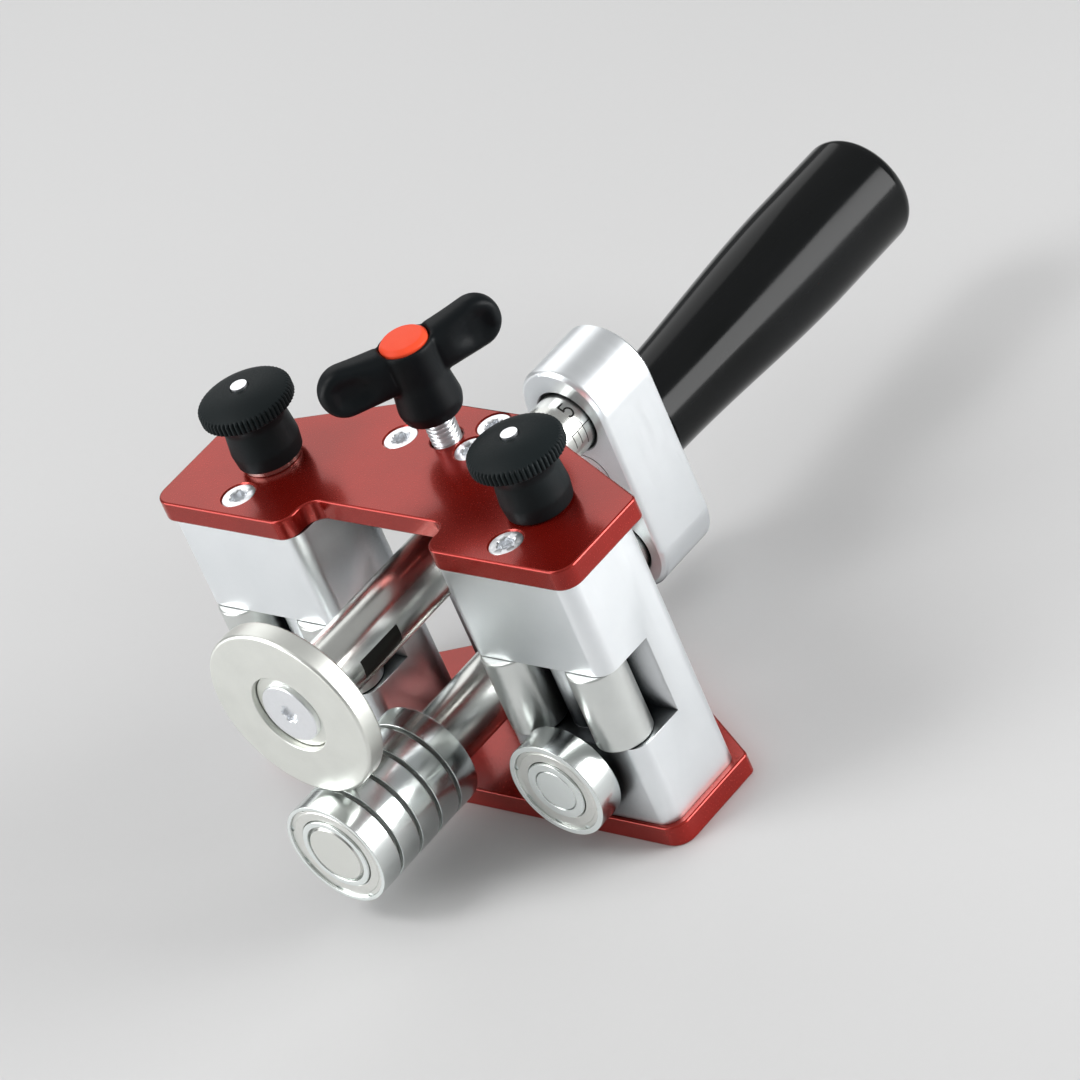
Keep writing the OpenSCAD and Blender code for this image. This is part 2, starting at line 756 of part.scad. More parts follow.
module side_axle(side) {
  along = side_front + ring_end;
  key_front = plunger_y - key_w / 2;
  key_back = plunger_y + key_w / 2 + side_travel;
  color("#b9b7b1") difference() {
    along_y([side * pillar_x, along, lower_z]) cylinder(r = axle_r, h = axle_back - along);
    // Keyway that the plunger's tip rides in
    translate([side * pillar_x - key_w / 2, key_front, tip_z + lift(side) - end_gap])
      cube([key_w, key_back - key_front, axle_r * 2]);
  }
}
module left_side_axle() { side_axle(-1); }
module right_side_axle() { side_axle(1); }
module left_side_inner_ring() { color("#c4c5c3") at_side(-1) inner_ring(side_brg); }
module right_side_inner_ring() { color("#c4c5c3") at_side(1) inner_ring(side_brg); }
module left_side_balls() { color("#dfe0e0") at_side(-1) bearing_balls(side_brg); }
module right_side_balls() { color("#dfe0e0") at_side(1) bearing_balls(side_brg); }
module left_side_ring() { color("#c4c5c3") at_side(-1) outer_ring(side_brg); }
module right_side_ring() { color("#c4c5c3") at_side(1) outer_ring(side_brg); }
module left_side_shields() { color("#d6d4cc") at_side(-1) shields(side_brg); }
module right_side_shields() { color("#d6d4cc") at_side(1) shields(side_brg); }

module forming_disc() {
  r = disc_d / 2;
  bore_r = bush_d / 2 + fixed_gap;
  floor_z = disc_floor - disc_front;
  rim = concat(
    arc([r - rim_round, rim_round], rim_round, -90, 0, 6),
    arc([r - rim_round, disc_t - rim_round], rim_round, 0, 90, 6)
  );
  color("#b4aea3")
    along_y([0, disc_front, upper_z]) rotate_extrude() polygon(concat(
      [[disc_recess_d / 2, 0]], rim,
      [[bore_r, disc_t], [bore_r, floor_z], [disc_recess_d / 2, floor_z]]
    ));
}

module disc_bush() {
  bush_front = disc_floor;
  color("#a98546") difference() {
    along_y([0, bush_front, upper_z]) cylinder(d = bush_d, h = bush_back - end_gap / 2 - bush_front);
    along_y([0, bush_front - eps, upper_z]) cylinder(r = spigot_d / 2 + run_gap, h = disc_t + end_gap);
  }
}

module disc_keeper() {
  color("#b4aea3") difference() {
    along_y([0, keeper_front, upper_z]) cylinder(r = disc_recess_d / 2 - free_gap, h = keeper_t);
    along_y([0, disc_front, upper_z]) cylinder(d = disc_screw_d + 2 * fixed_gap, h = disc_t);
  }
}

// Flat headed screw with a six-lobed socket
module disc_screw() {
  head_r = disc_screw_head / 2;
  color("#c9cccd") along_y([0, disc_front + end_gap, upper_z]) difference() {
    union() {
      rotate_extrude() polygon([
        [0, 0], [head_r - head_edge, 0], [head_r, head_edge],
        [head_r, disc_head_t - fixed_gap], [0, disc_head_t - fixed_gap]
      ]);
      cylinder(d = disc_screw_d, h = disc_screw_len - end_gap);
    }
    translate([0, 0, -eps]) linear_extrude(socket_depth) polygon(lobes(disc_socket_r));
  }
}

module plunger_sleeve(side) {
  color("#b7b9ba")
    translate([side * pillar_x, plunger_y, 0]) difference() {
      union() {
        translate([0, 0, top_z - sleeve_seat]) cylinder(d = sleeve_d, h = sleeve_seat + plate_t + eps);
        translate([0, 0, deck_z]) cylinder(d = collar_d, h = collar_h);
      }
      translate([0, 0, top_z - sleeve_seat - eps]) cylinder(r = tip_hole_r, h = sleeve_seat);
      translate([0, 0, chamber_floor]) cylinder(d = chamber_d, h = chamber_top - chamber_floor);
      translate([0, 0, chamber_top - eps]) cylinder(r = pin_d / 2 + run_gap, h = collar_h);
    }
}

module plunger_spring(side) {
  in_r = pin_d / 2 + free_gap;
  from = shoulder_z + shoulder_t + lift(side);
  color("#8b8d8f")
    translate([side * pillar_x, plunger_y, from]) difference() {
      cylinder(r = in_r + spring_wall, h = chamber_top - from);
      translate([0, 0, -eps]) cylinder(r = in_r, h = chamber_top - from + 2 * eps);
    }
}

module plunger_pin(side) {
  color("#cfd1d2")
    translate([side * pillar_x, plunger_y, lift(side)]) {
      translate([0, 0, tip_z]) cylinder(d = tip_d, h = shoulder_z - tip_z + eps);
      translate([0, 0, shoulder_z]) cylinder(d = shoulder_d, h = shoulder_t);
      translate([0, 0, shoulder_z + shoulder_t - eps])
        cylinder(d = pin_d, h = stem_top - shoulder_z - shoulder_t);
      translate([0, 0, shoulder_z]) cylinder(d = tip_d, h = pin_top - shoulder_z);
    }
}

module plunger_knob(side) {
  rim_z = knob_h - crown_h - knob_rim_h;
  rim_r = knob_d / 2;
  foot_r = skirt_d / 2;
  waist_r = waist_d / 2;
  bore_r = collar_d / 2 + free_gap;
  bore_h = collar_h + 2 * free_gap;
  color("#26282a")
    translate([side * pillar_x, plunger_y, knob_foot + lift(side)]) difference() {
      rotate_extrude() polygon([
        [0, 0], [foot_r - knob_edge, 0], [foot_r, knob_edge],
        [waist_r, rim_z - neck_h], [waist_r + neck_flare, rim_z - knob_edge],
        [rim_r - knob_edge, rim_z], [rim_r, rim_z + knob_edge],
        [rim_r, rim_z + knob_rim_h - knob_edge / 2], [rim_r - knob_edge / 2, rim_z + knob_rim_h],
        [rim_r / 2, knob_h - crown_bow], [0, knob_h]
      ]);
      translate([0, 0, -eps]) cylinder(r = bore_r, h = bore_h);
      cylinder(r = pin_d / 2 + fixed_gap, h = stem_top - knob_foot + fixed_gap);
      cylinder(r = tip_d / 2 + fixed_gap, h = knob_h + pin_proud);
    }
}

module left_plunger_sleeve() { plunger_sleeve(-1); }
module right_plunger_sleeve() { plunger_sleeve(1); }
module left_plunger_spring() { plunger_spring(-1); }
module right_plunger_spring() { plunger_spring(1); }
module left_plunger_pin() { plunger_pin(-1); }
module right_plunger_pin() { plunger_pin(1); }
module left_plunger_knob() { plunger_knob(-1); }
module right_plunger_knob() { plunger_knob(1); }

module clamp_pad() {
  color("#b08d4a") translate([0, clamp_y, pad_z]) cylinder(r = clamp_d / 2 - end_gap, h = pad_t);
}

module clamp_stud() {
  color("#c9cccd") translate([0, clamp_y, stud_z]) cylinder(d = clamp_d, h = stud_top - stud_z);
}

module wing_knob() {
  root_r = wing_hub_d / 2 - 1.5 * wing_edge;
  root_z = wing_h - wing_root_h;
  tip_x = wing_span / 2 - wing_tip_r;
  color("#1b1d1f")
    translate([0, clamp_y, wing_z]) difference() {
      union() {
        rotate_extrude() polygon([
          [0, 0], [wing_foot_d / 2 - wing_foot_edge, 0], [wing_foot_d / 2, wing_foot_edge],
          [wing_hub_d / 2, wing_h - wing_edge / 2], [wing_hub_d / 2 - wing_edge / 2, wing_h], [0, wing_h]
        ]);
        for (turn = [0, 180])
          rotate([0, 0, wing_angle + turn]) hull() {
            translate([wing_edge, 0, root_z]) cylinder(r = root_r, h = wing_root_h, $fn = hull_fn);
            translate([tip_x, 0, wing_mid]) rotate([90, 0, 0]) {
              cylinder(r = wing_tip_r - wing_edge, h = wing_t, center = true, $fn = hull_fn);
              cylinder(r = wing_tip_r, h = wing_t - 2 * wing_edge, center = true, $fn = hull_fn);
            }
          }
      }
      translate([0, 0, -eps]) cylinder(r = clamp_d / 2 + fixed_gap, h = stud_top - wing_z + end_gap);
      translate([0, 0, wing_h - cap_seat]) cylinder(r = cap_d / 2 + fixed_gap, h = wing_h);
    }
}

module wing_cap() {
  edge = cap_rise - 0.6;
  color("#e8502c")
    translate([0, clamp_y, wing_z + wing_h - cap_seat])
      rotate_extrude() polygon([
        [0, 0], [cap_d / 2, 0], [cap_d / 2, cap_seat], [cap_d / 2 - edge, cap_seat + edge],
        [cap_d / 4, cap_seat + cap_rise - fixed_gap], [0, cap_seat + cap_rise]
      ]);
}

top_plate();
base_plate();
left_pillar();
right_pillar();
guide_block();
top_plate_screws();
base_plate_screws();
guide_roller_pins();
left_plunger_sleeve();
right_plunger_sleeve();
left_plunger_spring();
right_plunger_spring();
upper_shaft();
lower_shaft();
handle_block();
shaft_end_screws();
grip_bolt();
grip_insert();
grip();
roller_inner_rings();
roller_spacers();
roller_balls();
disc_keeper();
disc_screw();
forming_disc();
disc_bush();
roller_ring(1);  // roller_ring_1
roller_ring(2);  // roller_ring_2
roller_ring(3);  // roller_ring_3
roller_ring(4);  // roller_ring_4
roller_ring(5);  // roller_ring_5
roller_shields(1);  // roller_shields_1
roller_shields(2);  // roller_shields_2
roller_shields(3);  // roller_shields_3
roller_shields(4);  // roller_shields_4
roller_shields(5);  // roller_shields_5
left_side_axle();
right_side_axle();
left_side_inner_ring();
right_side_inner_ring();
left_side_balls();
right_side_balls();
left_side_ring();
right_side_ring();
left_side_shields();
right_side_shields();
left_outer_guide_roller();
left_inner_guide_roller();
right_inner_guide_roller();
right_outer_guide_roller();
left_plunger_pin();
right_plunger_pin();
left_plunger_knob();
right_plunger_knob();
clamp_pad();
clamp_stud();
wing_knob();
wing_cap();
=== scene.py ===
import json
import math

import bmesh
import bpy
import numpy as np
from mathutils import Matrix, Vector


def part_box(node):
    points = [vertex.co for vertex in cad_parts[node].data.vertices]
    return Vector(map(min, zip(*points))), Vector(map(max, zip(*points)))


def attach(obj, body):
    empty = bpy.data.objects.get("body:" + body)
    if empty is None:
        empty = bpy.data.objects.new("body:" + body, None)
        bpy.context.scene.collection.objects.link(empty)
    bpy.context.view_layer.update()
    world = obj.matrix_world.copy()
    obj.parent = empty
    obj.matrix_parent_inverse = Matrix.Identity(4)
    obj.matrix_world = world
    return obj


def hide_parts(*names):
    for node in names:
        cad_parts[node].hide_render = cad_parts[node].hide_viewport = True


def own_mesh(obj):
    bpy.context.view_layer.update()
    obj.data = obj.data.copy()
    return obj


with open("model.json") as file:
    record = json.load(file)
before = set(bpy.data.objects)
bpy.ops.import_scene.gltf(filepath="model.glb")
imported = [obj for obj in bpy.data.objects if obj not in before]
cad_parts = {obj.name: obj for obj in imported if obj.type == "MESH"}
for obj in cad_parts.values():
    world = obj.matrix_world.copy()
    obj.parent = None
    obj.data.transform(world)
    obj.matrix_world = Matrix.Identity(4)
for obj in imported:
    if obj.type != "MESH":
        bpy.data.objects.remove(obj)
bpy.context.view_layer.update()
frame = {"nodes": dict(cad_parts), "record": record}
cadNodes = frame["nodes"]
bodyOf = {n: b for b, names in frame["record"]["behaviour"]["bodies"].items() for n in names}
slotOf = {s["node"]: s["material_slot"] for s in frame["record"]["subparts"]}
scene = bpy.context.scene
scene.view_settings.view_transform = "Standard"
mm = 0.001
print("frame loaded,", len(cadNodes), "nodes")

# camera, set by the directions of its picture's right and up edges
shot = {
    "right": (0.73512, 0.58326, -0.34552),
    "up": (-0.12933, 0.62098, 0.77308),
    "place": (1.08834, -0.83321, 0.91325),
    "lens": 216.67,
    "sensor": 36,
    "far": 20,
}


def aimedCamera():
    right, up = Vector(shot["right"]), Vector(shot["up"])
    back = right.cross(up)
    cam = bpy.data.objects.new("shotCamera", bpy.data.cameras.new("shotCamera"))
    turn = Matrix((right, up, back)).transposed().to_4x4()
    cam.matrix_world = Matrix.Translation(shot["place"]) @ turn
    cam.data.lens = shot["lens"]
    cam.data.sensor_width = shot["sensor"]
    cam.data.clip_end = shot["far"]
    scene.collection.objects.link(cam)
    scene.camera = cam


aimedCamera()


# node helpers for the finishes
def addNode(tree, kind, values=None, **settings):
    n = tree.nodes.new(kind)
    for k, v in settings.items():
        setattr(n, k, v)
    for k, v in (values or {}).items():
        n.inputs[k].default_value = v
    return n


def finish(name, colour, metallic, roughness, **sockets):
    # a Principled shader with its even values on its own sockets
    mat = bpy.data.materials.new(name)
    mat.use_nodes = True
    mat.diffuse_color = (*colour, 1)
    tree = mat.node_tree
    shader = tree.nodes["Principled BSDF"]
    shader.inputs["Base Color"].default_value = (*colour, 1)
    shader.inputs["Metallic"].default_value = metallic
    shader.inputs["Roughness"].default_value = roughness
    for k, v in sockets.items():
        shader.inputs[k.replace("_", " ")].default_value = v
    return mat, tree, shader


def objectPlace(tree, scale=(1, 1, 1)):
    coord = addNode(tree, "ShaderNodeTexCoord")
    mapping = addNode(tree, "ShaderNodeMapping", {"Scale": scale})
    tree.links.new(coord.outputs["Object"], mapping.inputs["Vector"])
    return mapping.outputs["Vector"]


def noise(tree, place, scale, detail=4.0, rough=0.55):
    n = addNode(tree, "ShaderNodeTexNoise", {"Scale": scale, "Detail": detail, "Roughness": rough})
    tree.links.new(place, n.inputs["Vector"])
    return n.outputs["Fac"]


def spread(tree, value, low, high, fromLow=0.3, fromHigh=0.7):
    ends = {"From Min": fromLow, "From Max": fromHigh, "To Min": low, "To Max": high}
    n = addNode(tree, "ShaderNodeMapRange", ends)
    tree.links.new(value, n.inputs["Value"])
    return n.outputs["Result"]


def blendColour(tree, share, first, second):
    n = addNode(tree, "ShaderNodeMix", data_type="RGBA")
    tree.links.new(share, n.inputs["Factor"])
    for socket, colour in ((n.inputs[6], first), (n.inputs[7], second)):
        if hasattr(colour, "links"):
            tree.links.new(colour, socket)
        else:
            socket.default_value = (*colour, 1)
    return n.outputs[2]


def bump(tree, shader, height, strength, distance=0.0001):
    n = addNode(tree, "ShaderNodeBump", {"Strength": strength, "Distance": distance})
    tree.links.new(height, n.inputs["Height"])
    tree.links.new(n.outputs["Normal"], shader.inputs["Normal"])


def paint(tree, shader, colour, roughness):
    tree.links.new(colour, shader.inputs["Base Color"])
    tree.links.new(roughness, shader.inputs["Roughness"])


def toned(colour, share, most=1.0):
    # the colour made lighter or darker by that share
    return tuple(min(most, c * share) for c in colour)


def edgeShare(tree, radius, low=0.02, high=0.2):
    # how far the rounded normal leaves the true one, which is large only near an edge
    soft = addNode(tree, "ShaderNodeBevel", {"Radius": radius}, samples=4)
    geo = addNode(tree, "ShaderNodeNewGeometry")
    dot = addNode(tree, "ShaderNodeVectorMath", operation="DOT_PRODUCT")
    tree.links.new(soft.outputs["Normal"], dot.inputs[0])
    tree.links.new(geo.outputs["Normal"], dot.inputs[1])
    away = addNode(tree, "ShaderNodeMath", {0: 1.0}, operation="SUBTRACT")
    tree.links.new(dot.outputs["Value"], away.inputs[1])
    return spread(tree, away.outputs["Value"], 0.0, 1.0, low, high)


def openShare(tree, reach, low, high):
    # 0 deep inside a pocket, 1 where the surface lies open; used to paint shade into pockets
    n = addNode(tree, "ShaderNodeAmbientOcclusion", {"Distance": reach}, samples=12)
    return spread(tree, n.outputs["AO"], 0.0, 1.0, low, high)


def radiusFrom(tree, centre, axis):
    # distance from a line along the axis, for turned marks
    coord = addNode(tree, "ShaderNodeTexCoord")
    keep = [0.0 if k == axis else 1.0 for k in range(3)]
    middle = [-c * k for c, k in zip(centre, keep)]
    mapping = addNode(tree, "ShaderNodeMapping", {"Location": middle, "Scale": keep})
    tree.links.new(coord.outputs["Object"], mapping.inputs["Vector"])
    length = addNode(tree, "ShaderNodeVectorMath", operation="LENGTH")
    tree.links.new(mapping.outputs["Vector"], length.inputs[0])
    return length.outputs["Value"]


# finishes
def redAnodised():
    look = {
        # worn is the salmon edge colour: edge wear, and a painted edge highlight
        "colour": (0.34, 0.012, 0.007), "deep": (0.27, 0.009, 0.005), "worn": (0.70, 0.12, 0.085),
        "metallic": 0.6, "roughness": (0.22, 0.28), "tint": (1.0, 0.84, 0.76, 1),
        "coat": 0.35, "coatRoughness": 0.13, "clouds": 45, "grain": 2600, "wear": 0.0006, "bump": 0.02,
    }
    mat, tree, shader = finish(
        "redAnodised", look["colour"], look["metallic"], sum(look["roughness"]) / 2,
        Coat_Weight=look["coat"], Coat_Roughness=look["coatRoughness"], Specular_Tint=look["tint"],
    )
    cloudy = noise(tree, objectPlace(tree), look["clouds"], 5)
    grain = noise(tree, objectPlace(tree), look["grain"], 2)
    base = blendColour(tree, spread(tree, cloudy, 0, 1), look["colour"], look["deep"])
    # lighter salmon along the edges: edge wear, and a painted edge highlight
    lit = blendColour(tree, edgeShare(tree, look["wear"]), base, look["worn"])
    paint(tree, shader, lit, spread(tree, grain, *look["roughness"]))
    bump(tree, shader, grain, look["bump"])
    return mat


def machinedAluminium(name, stretch):
    # fine lines along the piece, with painted shade deep inside its pockets
    look = {
        "colour": (0.91, 0.94, 0.96), "dull": (0.87, 0.905, 0.925), "bright": (0.95, 0.97, 0.98),
        # deep is the painted shade colour laid into pockets
        "deep": (0.05, 0.055, 0.06), "roughness": (0.33, 0.39), "clouds": 60, "wear": 0.0005,
        "pocketShade": {"reach": 0.02, "low": 0.3, "high": 0.75}, "bump": 0.012,
    }
    mat, tree, shader = finish(name, look["colour"], 1.0, sum(look["roughness"]) / 2)
    lines = noise(tree, objectPlace(tree, stretch), 1, 3)
    cloudy = noise(tree, objectPlace(tree), look["clouds"], 4)
    base = blendColour(tree, spread(tree, cloudy, 0, 1), look["colour"], look["dull"])
    lit = blendColour(tree, edgeShare(tree, look["wear"]), base, look["bright"])
    # painted shade: the colour falls to deep where the surface is closed in by the parts around it
    shaded = blendColour(tree, openShare(tree, **look["pocketShade"]), look["deep"], lit)
    paint(tree, shader, shaded, spread(tree, lines, *look["roughness"]))
    bump(tree, shader, lines, look["bump"])
    return mat


def groundSteel(name, colour, roughness, axis):
    # ground round its axis, which is Y or Z, with duller turned end faces, made paler by painted light
    look = {
        # pale is the painted lightening of the end faces
        "dull": 0.9, "bright": 1.15, "pale": 1.18, "most": 0.95, "endRoughness": 0.44,
        "endFrom": 0.9, "endTo": 0.98, "across": 4000.0, "along": 15.0, "clouds": 90,
        "wear": 0.0003, "bump": 0.003,
    }
    mat, tree, shader = finish(name, colour, 1.0, sum(roughness) / 2)
    stretch = [look["across"] if k == axis else look["along"] for k in range(3)]
    lines = noise(tree, objectPlace(tree, stretch), 1, 2)
    cloudy = noise(tree, objectPlace(tree), look["clouds"], 5)
    geo = addNode(tree, "ShaderNodeNewGeometry")
    split = addNode(tree, "ShaderNodeSeparateXYZ")
    tree.links.new(geo.outputs["Normal"], split.inputs["Vector"])
    size = addNode(tree, "ShaderNodeMath", operation="ABSOLUTE")
    tree.links.new(split.outputs[axis], size.inputs[0])
    endFace = spread(tree, size.outputs["Value"], 0, 1, look["endFrom"], look["endTo"])
    dull, bright, pale = (toned(colour, look[k], look["most"]) for k in ("dull", "bright", "pale"))
    base = blendColour(tree, spread(tree, cloudy, 0, 0.8), colour, dull)
    # painted light: the end faces are given a paler colour, as if lit more brightly
    base = blendColour(tree, endFace, base, pale)
    lit = blendColour(tree, edgeShare(tree, look["wear"]), base, bright)
    rough = addNode(tree, "ShaderNodeMix", {3: look["endRoughness"]})
    tree.links.new(endFace, rough.inputs["Factor"])
    tree.links.new(spread(tree, lines, *roughness), rough.inputs[2])
    paint(tree, shader, lit, rough.outputs[0])
    bump(tree, shader, lines, look["bump"])
    return mat


def turnedSteel(name, colour, roughness, centre, axis):
    # fine rings about the turning axis, with a slight unevenness
    look = {"dull": 0.92, "bright": 1.12, "pitch": 0.0004, "clouds": 120, "wear": 0.0004, "bump": 0.025}
    mat, tree, shader = finish(name, colour, 1.0, sum(roughness) / 2)
    radius = radiusFrom(tree, centre, axis)
    ringValues = {"Scale": 1 / look["pitch"], "Detail": 3.0}
    rings = addNode(tree, "ShaderNodeTexNoise", ringValues, noise_dimensions="1D")
    tree.links.new(radius, rings.inputs["W"])
    cloudy = noise(tree, objectPlace(tree), look["clouds"], 5)
    dull, bright = toned(colour, look["dull"]), toned(colour, look["bright"])
    base = blendColour(tree, spread(tree, cloudy, 0, 0.8), colour, dull)
    lit = blendColour(tree, edgeShare(tree, look["wear"]), base, bright)
    paint(tree, shader, lit, spread(tree, rings.outputs["Fac"], *roughness))
    bump(tree, shader, rings.outputs["Fac"], look["bump"])
    return mat


def grainyPlastic(name, colour, roughness, grainScale, depth, worn=None):
    # moulded grain, lighter along its edges
    look = {"gloss": 0.15, "light": 1.5, "clouds": 130, "wear": (0.0004, 0.03, 0.3), "distance": 0.0002}
    mat, tree, shader = finish(name, colour, 0.0, sum(roughness) / 2, Specular_IOR_Level=look["gloss"])
    grain = noise(tree, objectPlace(tree), grainScale, 3)
    cloudy = noise(tree, objectPlace(tree), look["clouds"], 4)
    light = worn or toned(colour, look["light"])
    base = blendColour(tree, spread(tree, cloudy, 0, 0.3), colour, light)
    lit = blendColour(tree, edgeShare(tree, *look["wear"]), base, light)
    paint(tree, shader, lit, spread(tree, grain, *roughness))
    bump(tree, shader, grain, depth, look["distance"])
    return mat


def platedSteel(name, colour, roughness, mottled=0.88):
    # a finely mottled skin, brighter along its edges
    look = {"bright": 1.1, "mottle": 700, "wear": 0.0002, "bump": 0.008}
    mat, tree, shader = finish(name, colour, 1.0, sum(roughness) / 2)
    mottle = noise(tree, objectPlace(tree), look["mottle"], 5, 0.65)
    dull, bright = toned(colour, mottled), toned(colour, look["bright"])
    base = blendColour(tree, spread(tree, mottle, 0, 1), colour, dull)
    lit = blendColour(tree, edgeShare(tree, look["wear"]), base, bright)
    paint(tree, shader, lit, spread(tree, mottle, *roughness))
    bump(tree, shader, mottle, look["bump"])
    return mat


def glossyBlack():
    # polished plastic with long faint smears and a few shallow pits
    look = {
        "colour": (0.004, 0.0045, 0.0045), "deep": (0.0035, 0.004, 0.004), "pale": (0.006, 0.0065, 0.007),
        "gloss": 0.14, "roughness": (0.10, 0.20), "smears": (60, 18, 60), "pits": 900, "bump": 0.02,
    }
    mat, tree, shader = finish("gripBlack", look["colour"], 0.0, sum(look["roughness"]) / 2,
                               Specular_IOR_Level=look["gloss"])
    smears = noise(tree, objectPlace(tree, look["smears"]), 1, 5)
    pits = noise(tree, objectPlace(tree), look["pits"], 2)
    base = blendColour(tree, spread(tree, smears, 0, 1), look["deep"], look["pale"])
    paint(tree, shader, base, spread(tree, smears, *look["roughness"]))
    bump(tree, shader, pits, look["bump"])
    return mat


discLo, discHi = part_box("forming_disc")
discAxis = (discLo + discHi) / 2
looks = {
    "redAnodised": redAnodised(),
    "pillarAluminium": machinedAluminium("pillarAluminium", (1500, 1500, 60)),
    "blockAluminium": machinedAluminium("blockAluminium", (60, 1500, 60)),
    "shaftSteel": groundSteel("shaftSteel", (0.66, 0.67, 0.64), (0.20, 0.26), 1),
    "rollerSteel": groundSteel("rollerSteel", (0.76, 0.785, 0.765), (0.31, 0.325), 2),
    "bearingSteel": groundSteel("bearingSteel", (0.73, 0.765, 0.755), (0.17, 0.22), 1),
    "discSteel": turnedSteel("discSteel", (0.82, 0.835, 0.79), (0.34, 0.44), discAxis, 1),
    "shieldSteel": platedSteel("shieldSteel", (0.84, 0.85, 0.815), (0.32, 0.42), 0.95),
    "zincPlated": platedSteel("zincPlated", (0.91, 0.93, 0.955), (0.28, 0.36), 0.96),
    "springWire": platedSteel("springWire", (0.45, 0.45, 0.46), (0.25, 0.4)),
    "blackOxide": platedSteel("blackOxide", (0.10, 0.10, 0.11), (0.3, 0.45)),
    "turnedBrass": groundSteel("turnedBrass", (0.70, 0.52, 0.24), (0.2, 0.32), 1),
    "knobCharcoal": grainyPlastic("knobCharcoal", (0.006, 0.0095, 0.0105), (0.46, 0.58), 2600, 0.12),
    "wingBlack": grainyPlastic("wingBlack", (0.0025, 0.004, 0.005), (0.40, 0.52), 3000, 0.1),
    "capOrange": grainyPlastic("capOrange", (0.90, 0.075, 0.025), (0.36, 0.46), 2400, 0.06,
                               (0.92, 0.12, 0.06)),
    "gripBlack": glossyBlack(),
    "inkBlack": grainyPlastic("inkBlack", (0.014, 0.014, 0.013), (0.4, 0.6), 3000, 0.03),
    "labelDark": grainyPlastic("labelDark", (0.012, 0.012, 0.010), (0.35, 0.5), 1800, 0.05),
}
slotLook = {
    "red_anodised": "redAnodised", "bright_aluminium": "pillarAluminium", "steel": "shaftSteel",
    "disc_steel": "discSteel", "bearing_steel": "bearingSteel", "shield_steel": "shieldSteel",
    "spring_steel": "springWire", "zinc_screw": "zincPlated", "black_screw": "blackOxide",
    "brass": "turnedBrass", "grip_plastic": "gripBlack", "knob_plastic": "knobCharcoal",
    "wing_plastic": "wingBlack", "cap_plastic": "capOrange",
}
nodeLook = {"roller_spacers": "blackOxide"}
for name, obj in cadNodes.items():
    obj.data.materials.clear()
    obj.data.materials.append(looks[nodeLook.get(name, slotLook[slotOf[name]])])
print("finishes made:", len(looks))


# mesh helpers
def keepFlat(obj):
    # large faces keep their own normals beside small roundings
    obj.modifiers.new("keepFlat", "WEIGHTED_NORMAL").keep_sharp = True


def meshPiece(name, points, faces, look, sharp=32, flatKept=True):
    # merges the seam and the poles, turns faces outwards and shades smooth between sharp edges
    me = bpy.data.meshes.new(name)
    me.from_pydata(points.reshape(-1, 3).tolist(), [], faces.tolist())
    bm = bmesh.new()
    bm.from_mesh(me)
    bmesh.ops.remove_doubles(bm, verts=bm.verts, dist=1e-7)
    bmesh.ops.dissolve_degenerate(bm, edges=bm.edges, dist=1e-8)
    bmesh.ops.recalc_face_normals(bm, faces=bm.faces)
    bm.to_mesh(me)
    bm.free()
    me.shade_smooth()
    me.set_sharp_from_angle(angle=math.radians(sharp))
    me.materials.append(looks[look])
    obj = bpy.data.objects.new(name, me)
    scene.collection.objects.link(obj)
    if flatKept:
        keepFlat(obj)
    return obj


def gridFaces(rows, columns):
    # quads of a rows x columns grid of points, whose last column closes on the first
    i = np.arange(rows - 1)[:, None]
    j = np.arange(columns)[None, :]
    k = (j + 1) % columns
    quads = np.stack([i * columns + j, i * columns + k, (i + 1) * columns + k, (i + 1) * columns + j], -1)
    return quads.reshape(-1, 4)


def roundCorners(points, radii, steps=5):
    # each inner corner of the line becomes an arc that touches both its edges
    p = np.asarray(points, float)
    radii = np.broadcast_to(radii, len(p))
    out = [p[:1]]
    for before, at, after, r in zip(p[:-2], p[1:-1], p[2:], radii[1:-1]):
        u, v = (before - at) / np.linalg.norm(before - at), (after - at) / np.linalg.norm(after - at)
        half = math.acos(np.clip(u @ v, -1, 1)) / 2
        if r <= 0 or half > 1.56:   # kept sharp, or nearly straight
            out.append(at[None])
            continue
        centre = at + (u + v) / np.linalg.norm(u + v) * r / math.sin(half)
        a, b = at + u * r / math.tan(half) - centre, at + v * r / math.tan(half) - centre
        turn = math.pi - 2 * half
        t = np.linspace(0, 1, steps + 1)[:, None]
        out.append(centre + (np.sin((1 - t) * turn) * a + np.sin(t * turn) * b) / math.sin(turn))
    return np.vstack(out + [p[-1:]])


axes = {
    "y": (np.array((0, 1.0, 0)), np.array((1.0, 0, 0)), np.array((0, 0, 1.0))),
    "z": (np.array((0, 0, 1.0)), np.array((1.0, 0, 0)), np.array((0, 1.0, 0))),
}


def turnedPoints(profile, centre, axis, segments, ripple=None):
    # point(u, v) = centre + axis * h(u) + r(u, v) * (side * cos v + other * sin v)
    lengthwise, side, other = axes[axis]
    r, h = profile[:, 0][:, None], profile[:, 1][:, None]
    v = np.linspace(0, 2 * math.pi, segments, endpoint=False)[None, :]
    rr = r + 0 * v if ripple is None else ripple(r, h, v)
    ring = np.cos(v)[..., None] * side + np.sin(v)[..., None] * other
    return np.asarray(centre, float) + h[..., None] * lengthwise + rr[..., None] * ring


def joined(parts):
    # several sets of (points, faces) as one, the faces of each counted on from the set before
    starts = np.cumsum([0] + [len(points) for points, _ in parts])
    faces = [quads + start for (_, quads), start in zip(parts, starts)]
    return np.vstack([points for points, _ in parts]), np.vstack(faces)


def turned(name, profiles, centre, axis, look, segments, ripple=None, sharp=32):
    # one or more profiles (r, h), each turned about the axis
    parts = []
    for profile in profiles:
        points = turnedPoints(profile, centre, axis, segments, ripple)
        parts.append((points.reshape(-1, 3), gridFaces(len(profile), segments)))
    return meshPiece(name, *joined(parts), look, sharp)


def lyingRound(node):
    # near end of the axis, radius and length of a round node that lies along Y
    lo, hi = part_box(node)
    return ((lo.x + hi.x) / 2, lo.y, (lo.z + hi.z) / 2), (hi.x - lo.x) / 2, hi.y - lo.y


